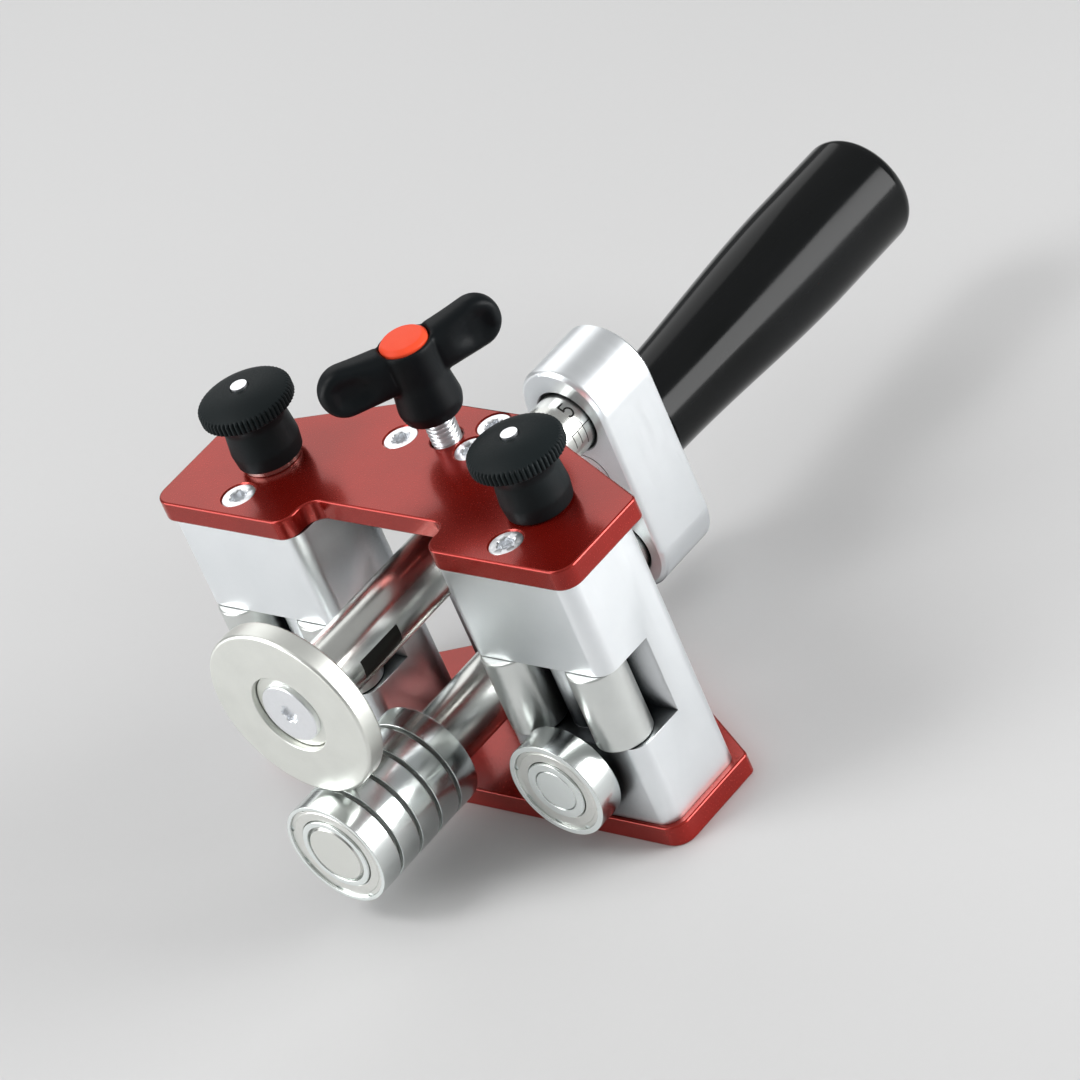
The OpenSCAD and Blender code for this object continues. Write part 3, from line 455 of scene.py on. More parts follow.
def standingRound(node):
    # foot of the axis, radius and height of a round node that stands along Z
    lo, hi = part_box(node)
    return ((lo.x + hi.x) / 2, (lo.y + hi.y) / 2, lo.z), (hi.x - lo.x) / 2, hi.z - lo.z


def stands(piece, node):
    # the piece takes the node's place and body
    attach(piece, bodyOf[node])
    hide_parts(node)


def pointsAndEdges(me):
    # a mesh's points, and the two points of each of its edges
    co, ends = np.empty(len(me.vertices) * 3), np.empty(len(me.edges) * 2, int)
    me.vertices.foreach_get("co", co)
    me.edges.foreach_get("vertices", ends)
    return co.reshape(-1, 3), ends.reshape(-1, 2)


def looseBoxes(node):
    # lowest and highest corner of each separate solid of a node: joined points share the lowest label
    co, ends = pointsAndEdges(cadNodes[node].data)
    spots, where = np.unique(np.round(co, 6), axis=0, return_inverse=True)
    a, b = where.reshape(-1)[ends].T
    label, before = np.arange(len(spots)), None
    while before is None or (label != before).any():
        before, label = label, label.copy()
        np.minimum.at(label, a, before[b])
        np.minimum.at(label, b, before[a])
        label = label[label]
    return [(spots[label == k].min(0), spots[label == k].max(0)) for k in np.unique(label)]


# edges over "square" degrees are eased, those over "shaded" are shaded sharp
easeForm = {
    "square": 55, "shaded": 30, "level": 0.4, "segments": 3,
    "headRoom": 0.35 * mm, "gap": 0.05 * mm, "fade": 1.25,
}


def easing(me, width, screws):
    # each square edge's share of the easing, which falls to none beside a sunk screw head
    d = easeForm
    co, ends = pointsAndEdges(me)
    square = np.empty(len(me.edges), bool)
    me.attributes["sharp_edge"].data.foreach_get("value", square)
    a, b = co[ends, :2].transpose(1, 0, 2)
    along, share = b - a, square.astype(np.float32)
    for lo, hi in looseBoxes(screws) if screws else []:
        c, r = (lo + hi)[:2] / 2, (hi[0] - lo[0]) / 2 + d["headRoom"]
        t = np.clip(((c - a) * along).sum(1) / np.maximum((along ** 2).sum(1), 1e-12), 0, 1)
        gap = np.linalg.norm(a + along * t[:, None] - c, axis=1) - r
        share = np.minimum(share, np.clip((gap - d["gap"]) / (d["fade"] * width), 0, 1))
    return share.astype(np.float32)


def bevelledCopy(node, look, width, screws=None):
    # the CAD solid with its square edges eased, so that they catch the light; chamfers stay as they are
    d = easeForm
    bm = bmesh.new()
    bm.from_mesh(cadNodes[node].data)
    bmesh.ops.remove_doubles(bm, verts=bm.verts, dist=1e-6)
    bmesh.ops.dissolve_limit(bm, angle_limit=math.radians(d["level"]), verts=bm.verts, edges=bm.edges)
    me = bpy.data.meshes.new(node + "Eased")
    bm.to_mesh(me)
    bm.free()
    me.shade_smooth()
    me.set_sharp_from_angle(angle=math.radians(d["square"]))
    weights = me.attributes.new("bevel_weight_edge", "FLOAT", "EDGE")
    weights.data.foreach_set("value", easing(me, width, screws))
    me.set_sharp_from_angle(angle=math.radians(d["shaded"]))
    me.materials.append(looks[look])
    obj = bpy.data.objects.new(node + "Eased", me)
    scene.collection.objects.link(obj)
    ease = obj.modifiers.new("ease", "BEVEL")
    ease.width = width
    ease.segments = d["segments"]
    ease.limit_method = "WEIGHT"
    keepFlat(obj)
    stands(obj, node)


# plates, pillars, blocks and plain turned pieces
eased = {
    "top_plate": ("redAnodised", 0.5 * mm, "top_plate_screws"),
    "base_plate": ("redAnodised", 0.5 * mm, "base_plate_screws"),
    "left_pillar": ("pillarAluminium", 0.3 * mm), "right_pillar": ("pillarAluminium", 0.3 * mm),
    "guide_block": ("pillarAluminium", 0.3 * mm), "handle_block": ("blockAluminium", 0.3 * mm),
    "upper_shaft": ("shaftSteel", 0.2 * mm), "lower_shaft": ("shaftSteel", 0.2 * mm),
    "left_plunger_sleeve": ("shaftSteel", 0.3 * mm), "right_plunger_sleeve": ("shaftSteel", 0.3 * mm),
    "left_plunger_pin": ("zincPlated", 0.3 * mm), "right_plunger_pin": ("zincPlated", 0.3 * mm),
    "left_side_axle": ("bearingSteel", 0.3 * mm), "right_side_axle": ("bearingSteel", 0.3 * mm),
}
for node, how in eased.items():
    bevelledCopy(node, *how)
print("eased solids:", len(eased))

# screws: a head with a six-lobed socket on a plain shank
plateScrew = {
    "shank": 2.5 * mm, "socket": 2.2 * mm, "depth": 1.8 * mm, "lobe": 0.13, "edge": 0.2 * mm,
    "mouth": 1.2, "mouthDepth": 0.25 * mm, "tip": 0.4 * mm, "segments": 96,
    "rounding": (0, 0, 0, 0, 0.1 * mm, 0.05 * mm, 0.2 * mm, 0.1 * mm, 0.1 * mm, 0),
}
discScrew = {
    "shank": 4.0 * mm, "socket": 2.4 * mm, "depth": 1.2 * mm, "lobe": 0.13, "edge": 0.3 * mm,
    "mouth": 1.15, "mouthDepth": 0.25 * mm, "head": 1.58 * mm, "segments": 144,
    "rounding": (0, 0, 0, 0, 0.15 * mm, 0.15 * mm, 0.05 * mm, 0.1 * mm, 0.3 * mm, 0),
}


def lobedSocket(d):
    # the socket's wall and floor swing as 1 + lobe * cos(6 v), all else stays round
    def ripple(r, h, v):
        return r * (1 + d["lobe"] * np.cos(6 * v) * (r < d["socket"] * 1.01))
    return ripple


def plateScrews(node, way):
    # profile from the socket's floor over the head, down its cone and shank to the tip
    d = plateScrew
    parts = []
    for lo, hi in looseBoxes(node):
        r, length = (hi[0] - lo[0]) / 2, hi[2] - lo[2]
        line = [
            (0, -d["depth"]), (d["socket"], -d["depth"]), (d["socket"], -d["mouthDepth"]),
            (d["socket"] * d["mouth"], 0), (r - d["edge"], 0), (r, -d["edge"] / 2),
            (d["shank"], d["shank"] - r), (d["shank"], d["tip"] - length),
            (d["shank"] - d["tip"], -length), (0, -length),
        ]
        profile = roundCorners(line, d["rounding"], 3) * (1, way)
        top = hi[2] if way > 0 else lo[2]
        centre = ((lo[0] + hi[0]) / 2, (lo[1] + hi[1]) / 2, top)
        points = turnedPoints(profile, centre, "z", d["segments"], lobedSocket(d))
        parts.append((points.reshape(-1, 3), gridFaces(len(profile), d["segments"])))
    stands(meshPiece(node + "Turned", *joined(parts), "zincPlated"), node)


def discCapScrew():
    # profile from the socket's floor over the flat head and along the shank
    d = discScrew
    centre, r, length = lyingRound("disc_screw")
    line = [
        (0, d["depth"]), (d["socket"], d["depth"]), (d["socket"], d["mouthDepth"]),
        (d["socket"] * d["mouth"], 0), (r - d["edge"], 0), (r, d["edge"]),
        (r, d["head"]), (d["shank"], d["head"]), (d["shank"], length), (0, length),
    ]
    profile = roundCorners(line, d["rounding"], 3)
    piece = turned("discScrewTurned", [profile], centre, "y", "zincPlated", d["segments"], lobedSocket(d))
    stands(piece, "disc_screw")


plateScrews("top_plate_screws", 1)
plateScrews("base_plate_screws", -1)
discCapScrew()
print("screws turned")

# forming disc: rounded rim and a recess for its keeper and screw
discForm = {
    "rim": 0.9 * mm, "recess": 22.5 * mm / 2, "bore": 15.64 * mm / 2, "floor": 2.9 * mm,
    "floorEdge": 0.15 * mm, "mouthEdge": 0.35 * mm, "boreEdge": 0.3 * mm, "segments": 192,
}


def formingDisc():
    d = discForm
    r, t = (discHi.x - discLo.x) / 2, discHi.y - discLo.y
    line = [
        (d["bore"], d["floor"]), (d["recess"], d["floor"]), (d["recess"], 0), (r, 0), (r, t),
        (d["bore"], t), (d["bore"], d["floor"]),
    ]
    rounding = [0, d["floorEdge"], d["mouthEdge"], d["rim"], d["rim"], d["boreEdge"], 0]
    profile = roundCorners(line, rounding)
    centre = (discAxis.x, discLo.y, discAxis.z)
    stands(turned("formingDiscTurned", [profile], centre, "y", "discSteel", d["segments"]), "forming_disc")


formingDisc()

# bearings: outer rings with rounded shoulders, stepped shields, eased inner rings
bearingForm = {
    "roller": {
        "wall": 1.7 * mm, "lip": 0.6 * mm, "recess": 0.4 * mm, "sheet": 0.5 * mm,
        "inner": 17.04 * mm / 2 + 1.7 * mm, "bore": 17.04 * mm / 2,
    },
    "side": {
        "wall": 2.2 * mm, "lip": 0.6 * mm, "recess": 0.4 * mm, "sheet": 0.5 * mm,
        "inner": 6 * mm + 2.5 * mm, "bore": 6 * mm,
    },
    "shoulder": 0.22 * mm, "lipEdge": 0.15 * mm, "innerEdge": 0.3 * mm,
    "rub": 0.14 * mm, "lipDepth": 1.2 * mm, "lipBend": 0.25 * mm, "step": 0.2 * mm, "stepAt": 0.28,
    "bend": 0.1 * mm, "crimps": 8, "crimp": 0.6 * mm, "crimpHalf": 0.06, "crimpBand": 0.12 * mm,
    "count": 5, "pitch": 8 * mm, "segments": 144, "innerSegments": 96,
}


def outerRing(node, form):
    # profile from the middle of the race over the shield's seat, the rim and back
    b = bearingForm
    centre, r, w = lyingRound(node)
    inside = r - form["wall"]
    lip = inside + form["lip"]
    seat = form["recess"] + form["sheet"]
    line = [
        (inside, w / 2), (inside, seat), (lip, seat), (lip, 0), (r, 0), (r, w),
        (lip, w), (lip, w - seat), (inside, w - seat), (inside, w / 2),
    ]
    s, e = b["shoulder"], b["lipEdge"]
    profile = roundCorners(line, [0, 0, 0, e, s, s, e, 0, 0, 0])
    stands(turned(node + "Turned", [profile], centre, "y", "bearingSteel", b["segments"]), node)


def shieldPair(node, form):
    # each shield is a pressed washer: a flat rim, a step, a flat middle, and a lip turned in
    # beside the inner ring
    b = bearingForm
    centre, r, w = lyingRound(node)
    inner, t, deep, step = form["inner"] + b["rub"], form["sheet"], b["lipDepth"], b["step"]
    mid = r - b["stepAt"] * (r - inner)
    front = [
        (inner, deep), (inner, 0), (mid - step, 0), (mid, step), (r, step),
        (r, t), (inner + t, t), (inner + t, deep), (inner, deep),
    ]
    back = [(a, w - h) for a, h in front]
    rounding = [0, b["lipBend"], b["bend"], b["bend"], b["bend"], 0, 0, 0, 0]
    profiles = [roundCorners(front, rounding), roundCorners(back, rounding)]

    # crimps: the outer edge is nicked by a narrow dip at even turns
    def nicked(rr, hh, v):
        off = np.abs((v * b["crimps"] / (2 * math.pi)) % 1 - 0.5)
        return rr - b["crimp"] * (off < b["crimpHalf"]) * (rr > r - b["crimpBand"])

    stands(turned(node + "Pressed", profiles, centre, "y", "shieldSteel", b["segments"], nicked), node)


def innerRings(node, form, count, pitch):
    # a row of plain rings with eased corners, one pitch apart
    b = bearingForm
    centre, _, span = lyingRound(node)
    w = span - pitch * (count - 1)
    bore, outside, e = form["bore"], form["inner"], b["innerEdge"]
    line = [(bore, w / 2), (bore, 0), (outside, 0), (outside, w), (bore, w), (bore, w / 2)]
    profile = roundCorners(line, [0, e, e, e, e, 0])
    profiles = [profile + (0, k * pitch) for k in range(count)]
    stands(turned(node + "Turned", profiles, centre, "y", "bearingSteel", b["innerSegments"]), node)


for k in range(1, bearingForm["count"] + 1):
    outerRing(f"roller_ring_{k}", bearingForm["roller"])
    shieldPair(f"roller_shields_{k}", bearingForm["roller"])
innerRings("roller_inner_rings", bearingForm["roller"], bearingForm["count"], bearingForm["pitch"])
for side in ("left", "right"):
    outerRing(f"{side}_side_ring", bearingForm["side"])
    shieldPair(f"{side}_side_shields", bearingForm["side"])
    innerRings(f"{side}_side_inner_ring", bearingForm["side"], 1, 0)
print("bearings turned")

# upright guide rollers
guideForm = {"edge": 0.6 * mm, "bore": 3.05 * mm, "boreEdge": 0.3 * mm, "segments": 128}
guideRollers = (
    "left_outer_guide_roller", "left_inner_guide_roller",
    "right_inner_guide_roller", "right_outer_guide_roller",
)


def guideRoller(node):
    d = guideForm
    centre, r, h = standingRound(node)
    b = d["bore"]
    line = [(b, h / 2), (b, 0), (r, 0), (r, h), (b, h), (b, h / 2)]
    profile = roundCorners(line, [0, d["boreEdge"], d["edge"], d["edge"], d["boreEdge"], 0])
    stands(turned(node + "Turned", [profile], centre, "z", "rollerSteel", d["segments"]), node)


for node in guideRollers:
    guideRoller(node)

# plunger knobs: a domed crown on a thin serrated rim, drawn in to a waist
knobForm = {
    "teeth": 60, "depth": 0.55 * mm, "proud": 0.7 * mm, "fade": 0.4 * mm, "toothBow": 0.8,
    "crown": 3.0 * mm, "bow": 1.9, "rim": 3.4 * mm, "rimEdge": (0.35 * mm, 0.5 * mm),
    "sweep": 4.2 * mm, "waist": 8.5 * mm, "foot": 9.15 * mm, "footHeight": 4.2 * mm, "footIn": 0.5 * mm,
    "footRounding": (0, 4 * mm, 0.6 * mm, 0), "bore": 7.8 * mm, "boreHeight": 8.6 * mm,
    "boreLift": 0.1 * mm, "pinHole": 2.22 * mm, "edge": 0.3 * mm, "segments": 600,
}


def plungerKnob(node):
    d = knobForm
    centre, r, h = standingRound(node)
    rimTop, rimLow = h - d["crown"], h - d["crown"] - d["rim"]
    well, out = d["pinHole"] + d["edge"], r - d["proud"]
    # crown: falls as (radius / rim)^bow; underside: a quarter ellipse from the rim in to the waist
    a = np.linspace(well, r - d["edge"], 24)
    crown = np.stack([a, h - d["crown"] * ((a - well) / (r - well)) ** d["bow"]], 1)
    rim = [(r, rimTop - d["rimEdge"][0]), (r, rimLow + d["rimEdge"][1])]
    t = np.linspace(math.pi / 2, 0, 16)
    low = rimLow - d["sweep"]
    under = np.stack([out - (out - d["waist"]) * np.cos(t), low + d["sweep"] * np.sin(t)], 1)
    foot = [under[-1], (d["foot"], d["footHeight"]), (d["foot"] - d["footIn"], 0), (d["bore"], 0)]
    foot = roundCorners(foot, d["footRounding"], 8)[1:-1]
    hole = [
        (d["bore"], d["boreLift"]), (d["bore"], d["boreHeight"]), (d["pinHole"], d["boreHeight"]),
        (d["pinHole"], h - d["edge"]), tuple(crown[0]),
    ]
    profile = np.vstack([crown, rim, under, foot, hole])

    # teeth: grooves round the rim with narrow feet, which fade out on the crown and the underside
    def serrated(rr, hh, v):
        inRim = np.clip((rr - out) / d["fade"], 0, 1)
        wave = np.abs(np.cos(d["teeth"] * v / 2)) ** d["toothBow"]
        return rr - d["depth"] * (1 - wave) * inRim

    piece = turned(node + "Moulded", [profile], centre, "z", "knobCharcoal", d["segments"], serrated, 40)
    stands(piece, node)


# plunger springs: round wire wound in a helix with flat end turns
springForm = {"wire": 0.4 * mm, "turns": 8, "flat": 0.75, "rows": 256, "segments": 10}


def plungerSpring(node):
    # point(u, v) = axis + (coil + wire * cos v) * outward(u) + (height(u) + wire * sin v) * up,
    # and the wire is drawn in to a point at both ends
    d = springForm
    lo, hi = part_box(node)
    coil, length = (hi.x - lo.x) / 2 - d["wire"], hi.z - lo.z
    s = np.linspace(0, 1, d["rows"])[:, None]
    v = np.linspace(0, 2 * math.pi, d["segments"], endpoint=False)[None, :]
    wire = d["wire"] * np.minimum(1, np.minimum(s, 1 - s) * d["rows"])
    climb = np.clip((s * d["turns"] - d["flat"]) / (d["turns"] - 2 * d["flat"]), 0, 1)
    turn = 2 * math.pi * d["turns"] * s + 0 * v
    r = coil + wire * np.cos(v)
    z = lo.z + d["wire"] + (length - 2 * d["wire"]) * climb + wire * np.sin(v)
    x, y = (lo.x + hi.x) / 2 + r * np.cos(turn), (lo.y + hi.y) / 2 + r * np.sin(turn)
    points = np.stack([x, y, z], -1)
    piece = meshPiece(node + "Coiled", points, gridFaces(d["rows"], d["segments"]), "springWire", 60, False)
    stands(piece, node)
    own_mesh(piece)


for side in ("left", "right"):
    plungerKnob(f"{side}_plunger_knob")
    plungerSpring(f"{side}_plunger_spring")
print("knobs moulded, springs wound")

# grip: a smooth swelling handle with a rounded end
gripForm = {
    "swell": 0.72, "steps": 64, "end": 4.5 * mm, "endSteps": 14, "base": 25.6 * mm / 2,
    "edge": 0.5 * mm, "bore": 6.52 * mm, "boreDepth": 20.2 * mm, "segments": 160,
}


def grip():
    # profile from the bore's floor round the foot, along the swelling body and over the rounded end
    d = gripForm
    centre, r, length = lyingRound("grip")
    straight = length - d["end"]
    s = np.linspace(0, 1, d["steps"])
    u = np.clip(s * straight / length / d["swell"], 0, 1)
    swell = d["base"] + (r - d["base"]) * u * u * (3 - 2 * u)   # radius rises in one smooth step
    body = np.stack([swell, s * straight], 1)
    a = np.linspace(0, math.pi / 2, d["endSteps"])[1:]
    end = np.stack([r - d["end"] + d["end"] * np.cos(a), straight + d["end"] * np.sin(a)], 1)
    foot = [(d["bore"], d["boreDepth"]), (d["bore"], 0), (d["base"] - d["edge"], 0), (d["base"], d["edge"])]
    profile = np.vstack([[(0, d["boreDepth"])], foot, body[2:], end, [(0, length)]])
    stands(turned("gripMoulded", [profile], centre, "y", "gripBlack", d["segments"]), "grip")


grip()

# wing knob: hub and two dished paddles, grown together
wingForm = {
    "angle": 60, "height": 22 * mm, "hub": 7.5 * mm, "foot": 8.5 * mm, "footHeight": 3.4 * mm,
    "footIn": 1.0 * mm, "waistIn": 0.1 * mm, "waistAt": 0.55, "mouthOut": 0.2 * mm,
    "rounding": (0, 0, 0.3 * mm, 1.2 * mm, 2.5 * mm, 6 * mm, 0.8 * mm, 0.1 * mm, 0, 0),
    "stud": 4.1 * mm, "studShare": 0.6, "cap": 6.5 * mm, "capSeat": 2.2 * mm, "hubSegments": 128,
    "tipX": 18.0 * mm, "tipR": 7.0 * mm, "tipUp": 17.8 * mm, "thick": 4.0 * mm,
    "rootUp": 16.4 * mm, "rootHalf": 6.2 * mm, "rootThick": 5.4 * mm, "square": 0.62,
    "dish": 1.7 * mm, "border": 1.2 * mm, "dishSlope": 4.5 * mm, "dishFrom": 9.5 * mm, "dishRun": 6 * mm,
    "rows": 120, "columns": 160, "clear": 0.2 * mm, "voxel": 0.4 * mm, "smooth": 18,
}


def wingKnob():
    d = wingForm
    centre = np.array(standingRound("wing_knob")[0])
    top, studTop = d["height"], d["height"] * d["studShare"] + d["clear"]
    line = [
        (0, studTop), (d["stud"], studTop), (d["stud"], 0), (d["foot"] - d["footIn"], 0),
        (d["foot"], d["footHeight"]), (d["hub"] - d["waistIn"], top * d["waistAt"]),
        (d["hub"] + d["mouthOut"], top), (d["cap"], top), (d["cap"], top - d["capSeat"]),
        (0, top - d["capSeat"]),
    ]
    hub = roundCorners(line, d["rounding"])
    hubPoints = turnedPoints(hub, centre, "z", d["hubSegments"])
    parts = [(hubPoints.reshape(-1, 3), gridFaces(len(hub), d["hubSegments"]))]
    # paddles: sections across the reach are rounded boxes, whose half height, half thickness
    # and mid height follow the reach
    a = math.radians(d["angle"])
    outward = np.array((math.cos(a), math.sin(a), 0))
    across = np.array((-math.sin(a), math.cos(a), 0))
    up = np.array((0, 0, 1.0))
    s = np.linspace(0, 1, d["rows"])[:, None]
    v = np.linspace(0, 2 * math.pi, d["columns"], endpoint=False)[None, :]
    inside, tip = d["cap"] + d["clear"], d["tipX"] + d["tipR"]
    reach = inside + (1 - (1 - s) ** 1.6) * (tip - inside)
    along = np.clip(reach / d["tipX"], 0, 1)
    past = np.clip((reach - d["tipX"]) / d["tipR"], 0, 1)
    roundEnd = np.sqrt(1 - past ** 2)
    half = (d["rootHalf"] + (d["tipR"] - d["rootHalf"]) * along ** 2) * roundEnd
    thick = d["thick"] + (d["rootThick"] - d["thick"]) * (1 - along) ** 0.8
    thick = thick * np.clip(1 - past ** 2.5, 0, 1) ** 0.4
    mid = d["rootUp"] + (d["tipUp"] - d["rootUp"]) * along ** 1.5
    ex, ez = (np.sign(w) * np.abs(w) ** d["square"] for w in (np.cos(v), np.sin(v)))
    # dish: the flat of each paddle sinks where it lies further than the border from its outline
    rim = np.minimum(half * (1 - np.abs(ez)), tip - reach)
    sink = np.clip((rim - d["border"]) / d["dishSlope"], 0, 1)
    sink = sink * np.clip((reach - d["dishFrom"]) / d["dishRun"], 0, 1)
    depth = d["dish"] * sink * sink * (3 - 2 * sink) * np.sign(ex) * (np.abs(ex) > 0.5)
    for way in (1, -1):
        points = centre + way * reach[..., None] * outward
        points = points + way * (thick * ex - depth)[..., None] * across
        points = points + (mid + half * ez)[..., None] * up
        root = np.broadcast_to(points[0].mean(0), (1, d["columns"], 3))
        points = np.concatenate([root, points], 0)
        parts.append((points.reshape(-1, 3), gridFaces(len(points), d["columns"])))
    obj = meshPiece("wingKnobMoulded", *joined(parts), "wingBlack", 180, False)
    grow = obj.modifiers.new("grow", "REMESH")
    grow.mode = "VOXEL"
    grow.voxel_size = d["voxel"]
    grow.use_smooth_shade = True
    soft = obj.modifiers.new("soft", "SMOOTH")
    soft.factor = 0.5
    soft.iterations = d["smooth"]
    stands(obj, "wing_knob")


wingKnob()
capForm = {
    "edge": 1.0 * mm, "crown": 0.35 * mm, "rounding": (0, 0.1 * mm, 0.5 * mm, 0.8 * mm, 0), "segments": 96,
}


def wingCap():
    # a low crown over a bevelled edge
    d = capForm
    centre, r, h = standingRound("wing_cap")
    side, flat = h - d["edge"] - d["crown"], h - d["crown"]
    line = [(0, 0), (r, 0), (r, side), (r - d["edge"], flat), (0, h)]
    profile = roundCorners(line, d["rounding"])
    stands(turned("wingCapMoulded", [profile], centre, "z", "capOrange", d["segments"]), "wing_cap")


wingCap()

# clamp stud with its thread
threadForm = {
    "pitch": 1.25 * mm, "depth": 0.68 * mm, "rows": 20, "steep": 1.25, "crest": 0.12,
    "fade": 1.0 * mm, "segments": 72,
}


def clampStud():
    d = threadForm
    centre, r, h = standingRound("clamp_stud")
    z = np.linspace(0, h, int(h / d["pitch"] * d["rows"]))
    profile = np.vstack([[(0, 0)], np.stack([np.full_like(z, r), z], 1), [(0, h)]])

    # thread: the radius dips in a smooth V that climbs one pitch a turn, and fades at both ends
    def thread(rr, hh, v):
        phase = (hh / d["pitch"] - v / (2 * math.pi)) % 1
        dip = np.clip(d["steep"] * (1 - np.abs(2 * phase - 1)) - d["crest"], 0, 1)
        ends = np.clip(np.minimum(hh, h - hh) / d["fade"], 0, 1)
        return np.where(rr > 0, rr - d["depth"] * (dip * ends + (1 - ends)), rr)

    piece = turned("clampStudThreaded", [profile], centre, "z", "zincPlated", d["segments"], thread, 60)
    stands(piece, "clamp_stud")


clampStud()
print("clamp made")

# scale on the upper shaft: a base line, ticks and a figure, all printed just proud of the surface
scaleForm = {
    "proud": 0.02 * mm, "sunk": -0.02 * mm, "line": 0.22 * mm, "base": 14,
    "from": 39.2 * mm, "to": 47.6 * mm, "longAt": 43.9 * mm, "step": 2.2 * mm, "count": 3,
    "long": (25, -22), "short": (14, -12), "figureAt": 42.5 * mm, "figureFoot": 37.6,
    "figure": (2.4 * mm, 4.6 * mm), "stroke": 0.5 * mm,
}
shaftLo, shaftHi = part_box("upper_shaft")
shaftR, shaftZ = (shaftHi.x - shaftLo.x) / 2, (shaftLo.z + shaftHi.z) / 2


def onShaft(y, turn, proud):
    # a point on the shaft at y, turned from +X up towards +Z
    r = shaftR + proud
    return np.stack([r * np.cos(turn), y, shaftZ + r * np.sin(turn)], -1)


def strip(path, width):
    # a flat strip of that width carried along a path of (y, turn * radius), as a thin closed skin
    p = np.asarray(path, float)
    t = np.gradient(p, axis=0)
    n = np.stack([-t[:, 1], t[:, 0]], 1)
    n /= np.linalg.norm(n, axis=1)[:, None]
    left, right = p + n * width / 2, p - n * width / 2
    proud, sunk = scaleForm["proud"], scaleForm["sunk"]
    corners = ((left, proud), (right, proud), (right, sunk), (left, sunk))
    return np.stack([onShaft(q[:, 0], q[:, 1] / shaftR, k) for q, k in corners], 1)


def shaftScale():
    d = scaleForm
    arc = math.radians(1) * shaftR
    ys = d["longAt"] - d["step"] * np.arange(d["count"])
    base = np.stack([np.linspace(d["from"], d["to"], 12), np.full(12, d["base"] * arc)], 1)
    lines = [(base, d["line"])]
    for k, y in enumerate(ys):
        high, low = d["long"] if k == 0 else d["short"]
        lines.append((np.stack([np.full(15, y), np.linspace(high, low, 15) * arc], 1), d["line"]))
    # the figure: a bar, a stem and a bowl, its foot towards the base line
    a = np.linspace(math.radians(138), math.radians(-146), 30)
    bar = np.stack([np.linspace(0.12, 0.95, 6), np.full(6, 0.95)], 1)
    stem = np.stack([np.linspace(0.17, 0.12, 6), np.linspace(1.0, 0.50, 6)], 1)
    bowl = np.stack([0.47 + 0.46 * np.cos(a), 0.33 + 0.29 * np.sin(a)], 1)
    for stroke in (bar, stem, bowl):
        lines.append((stroke * d["figure"] + (d["figureAt"], d["figureFoot"] * arc), d["stroke"]))
    parts = []
    for path, wide in lines:
        points = strip(path, wide)
        last = 4 * len(points) - 1
        ends = np.array([[0, 1, 2, 3], [last, last - 1, last - 2, last - 3]])
        parts.append((points.reshape(-1, 3), np.vstack([gridFaces(len(points), 4), ends])))
    piece = meshPiece("shaftScale", *joined(parts), "inkBlack")
    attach(piece, "carriage")


shaftScale()

# plain dark label on the upper shaft
labelForm = {
    "y": (-49.6 * mm, -34.9 * mm), "turn": (-25, 12), "proud": 0.05 * mm, "sunk": -0.1 * mm, "steps": 24,
}


def shaftLabel():
    # a thin skin bent round the shaft: each section is a loop out over the top and back underneath,
    # closed up at both ends
    d = labelForm
    n = d["steps"]
    y = np.repeat(d["y"], 2)[:, None]
    t = np.radians(np.linspace(*d["turn"], n))
    turn = np.concatenate([t, t[::-1]])[None, :]
    over = np.array([0, 1, 1, 0])[:, None] * (np.arange(2 * n) < n)[None, :]
    points = onShaft(y + 0 * turn, turn + 0 * y, d["sunk"] + (d["proud"] - d["sunk"]) * over)
    piece = meshPiece("shaftLabel", points, gridFaces(4, 2 * n), "labelDark")
    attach(piece, "carriage")


shaftLabel()
print("scale and label printed")

# floor, lamps and world
stageForm = {
    "size": 6.0, "floor": (0.60, 0.60, 0.60), "roughness": (0.7, 0.8), "grain": 400,
    "world": 0.46, "low": (0.32, 0.33, 0.34, 1), "high": (1, 1, 1, 1), "highAt": 0.8,
}


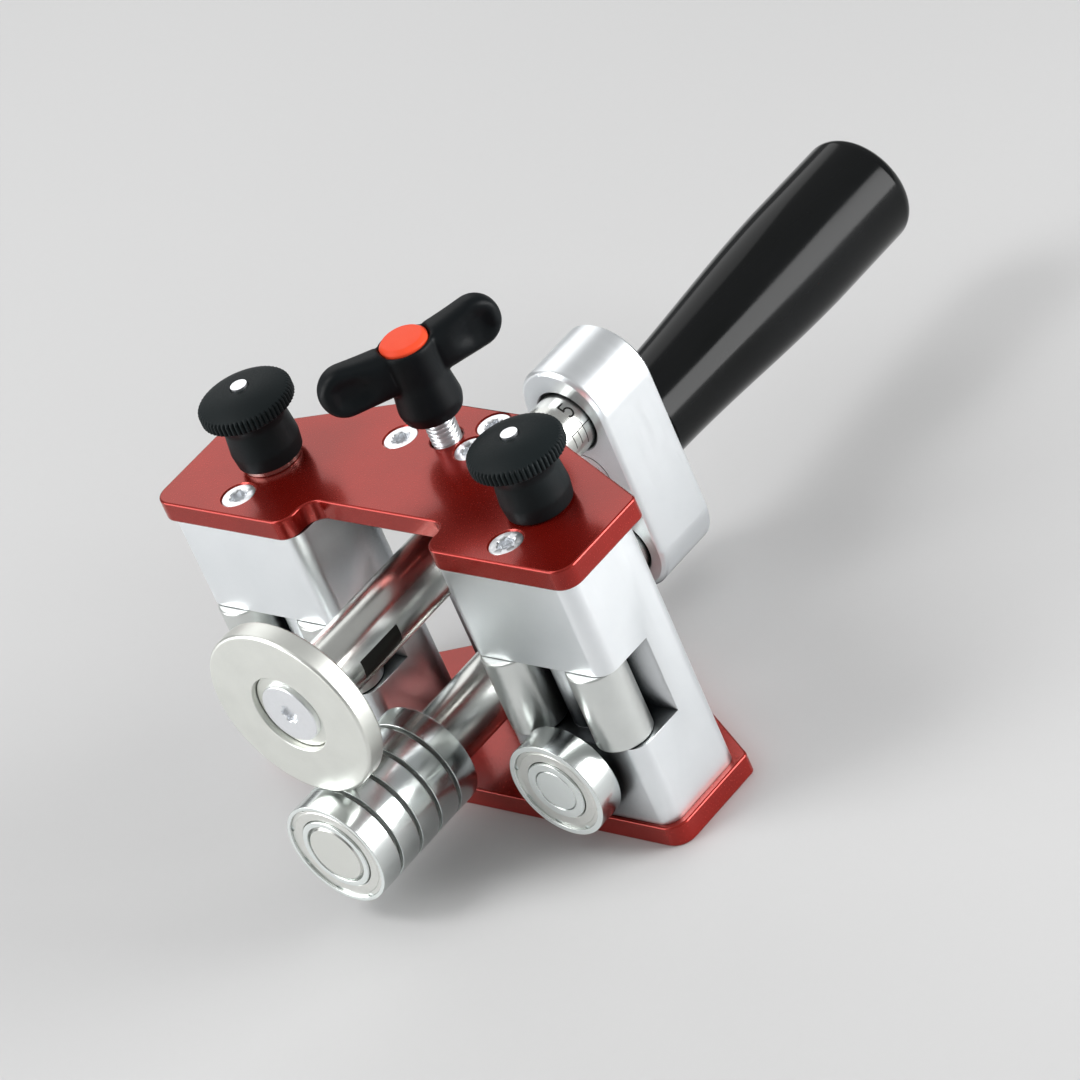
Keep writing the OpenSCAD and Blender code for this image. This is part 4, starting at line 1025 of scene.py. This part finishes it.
def stage():
    d = stageForm
    s = d["size"] / 2
    me = bpy.data.meshes.new("floor")
    me.from_pydata([(-s, -s, 0), (s, -s, 0), (s, s, 0), (-s, s, 0)], [], [(0, 1, 2, 3)])
    floor = bpy.data.objects.new("floor", me)
    scene.collection.objects.link(floor)
    mat, tree, shader = finish("paleFloor", d["floor"], 0.0, sum(d["roughness"]) / 2)
    grain = noise(tree, objectPlace(tree), d["grain"], 3)
    tree.links.new(spread(tree, grain, *d["roughness"]), shader.inputs["Roughness"])
    me.materials.append(mat)
    # the world brightens from the horizon up
    world = bpy.data.worlds.new("studio")
    world.use_nodes = True
    tree = world.node_tree
    coord = addNode(tree, "ShaderNodeTexCoord")
    split = addNode(tree, "ShaderNodeSeparateXYZ")
    tree.links.new(coord.outputs["Generated"], split.inputs["Vector"])
    ramp = addNode(tree, "ShaderNodeValToRGB")
    tree.links.new(split.outputs["Z"], ramp.inputs["Fac"])
    low, high = ramp.color_ramp.elements
    low.color, high.color = d["low"], d["high"]
    high.position = d["highAt"]
    back = tree.nodes["Background"]
    tree.links.new(ramp.outputs["Color"], back.inputs["Color"])
    back.inputs["Strength"].default_value = d["world"]
    scene.world = world


lamps = {
    "keyLamp": {"place": (-0.55, -0.55, 1.15), "size": 0.5, "power": 6.0},
    "backLamp": {"place": (-0.50, 0.34, 0.45), "size": 0.5, "power": 0.9},
    "sideLamp": {"place": (0.75, 0.45, 0.22), "size": 0.6, "power": 11.0},
    "frontLamp": {"place": (-0.60, -0.75, 0.22), "size": 0.8, "power": 8.5},
}
lampTarget = (0, 0.02, 0.05)


def lights():
    target = Vector(lampTarget)
    for name, d in lamps.items():
        lamp = bpy.data.lights.new(name, "AREA")
        lamp.shape = "SQUARE"
        lamp.size = d["size"]
        lamp.energy = d["power"]
        obj = bpy.data.objects.new(name, lamp)
        obj.location = d["place"]
        obj.rotation_euler = (target - obj.location).to_track_quat("-Z", "Y").to_euler()
        scene.collection.objects.link(obj)


stage()
lights()
print("stage lit")
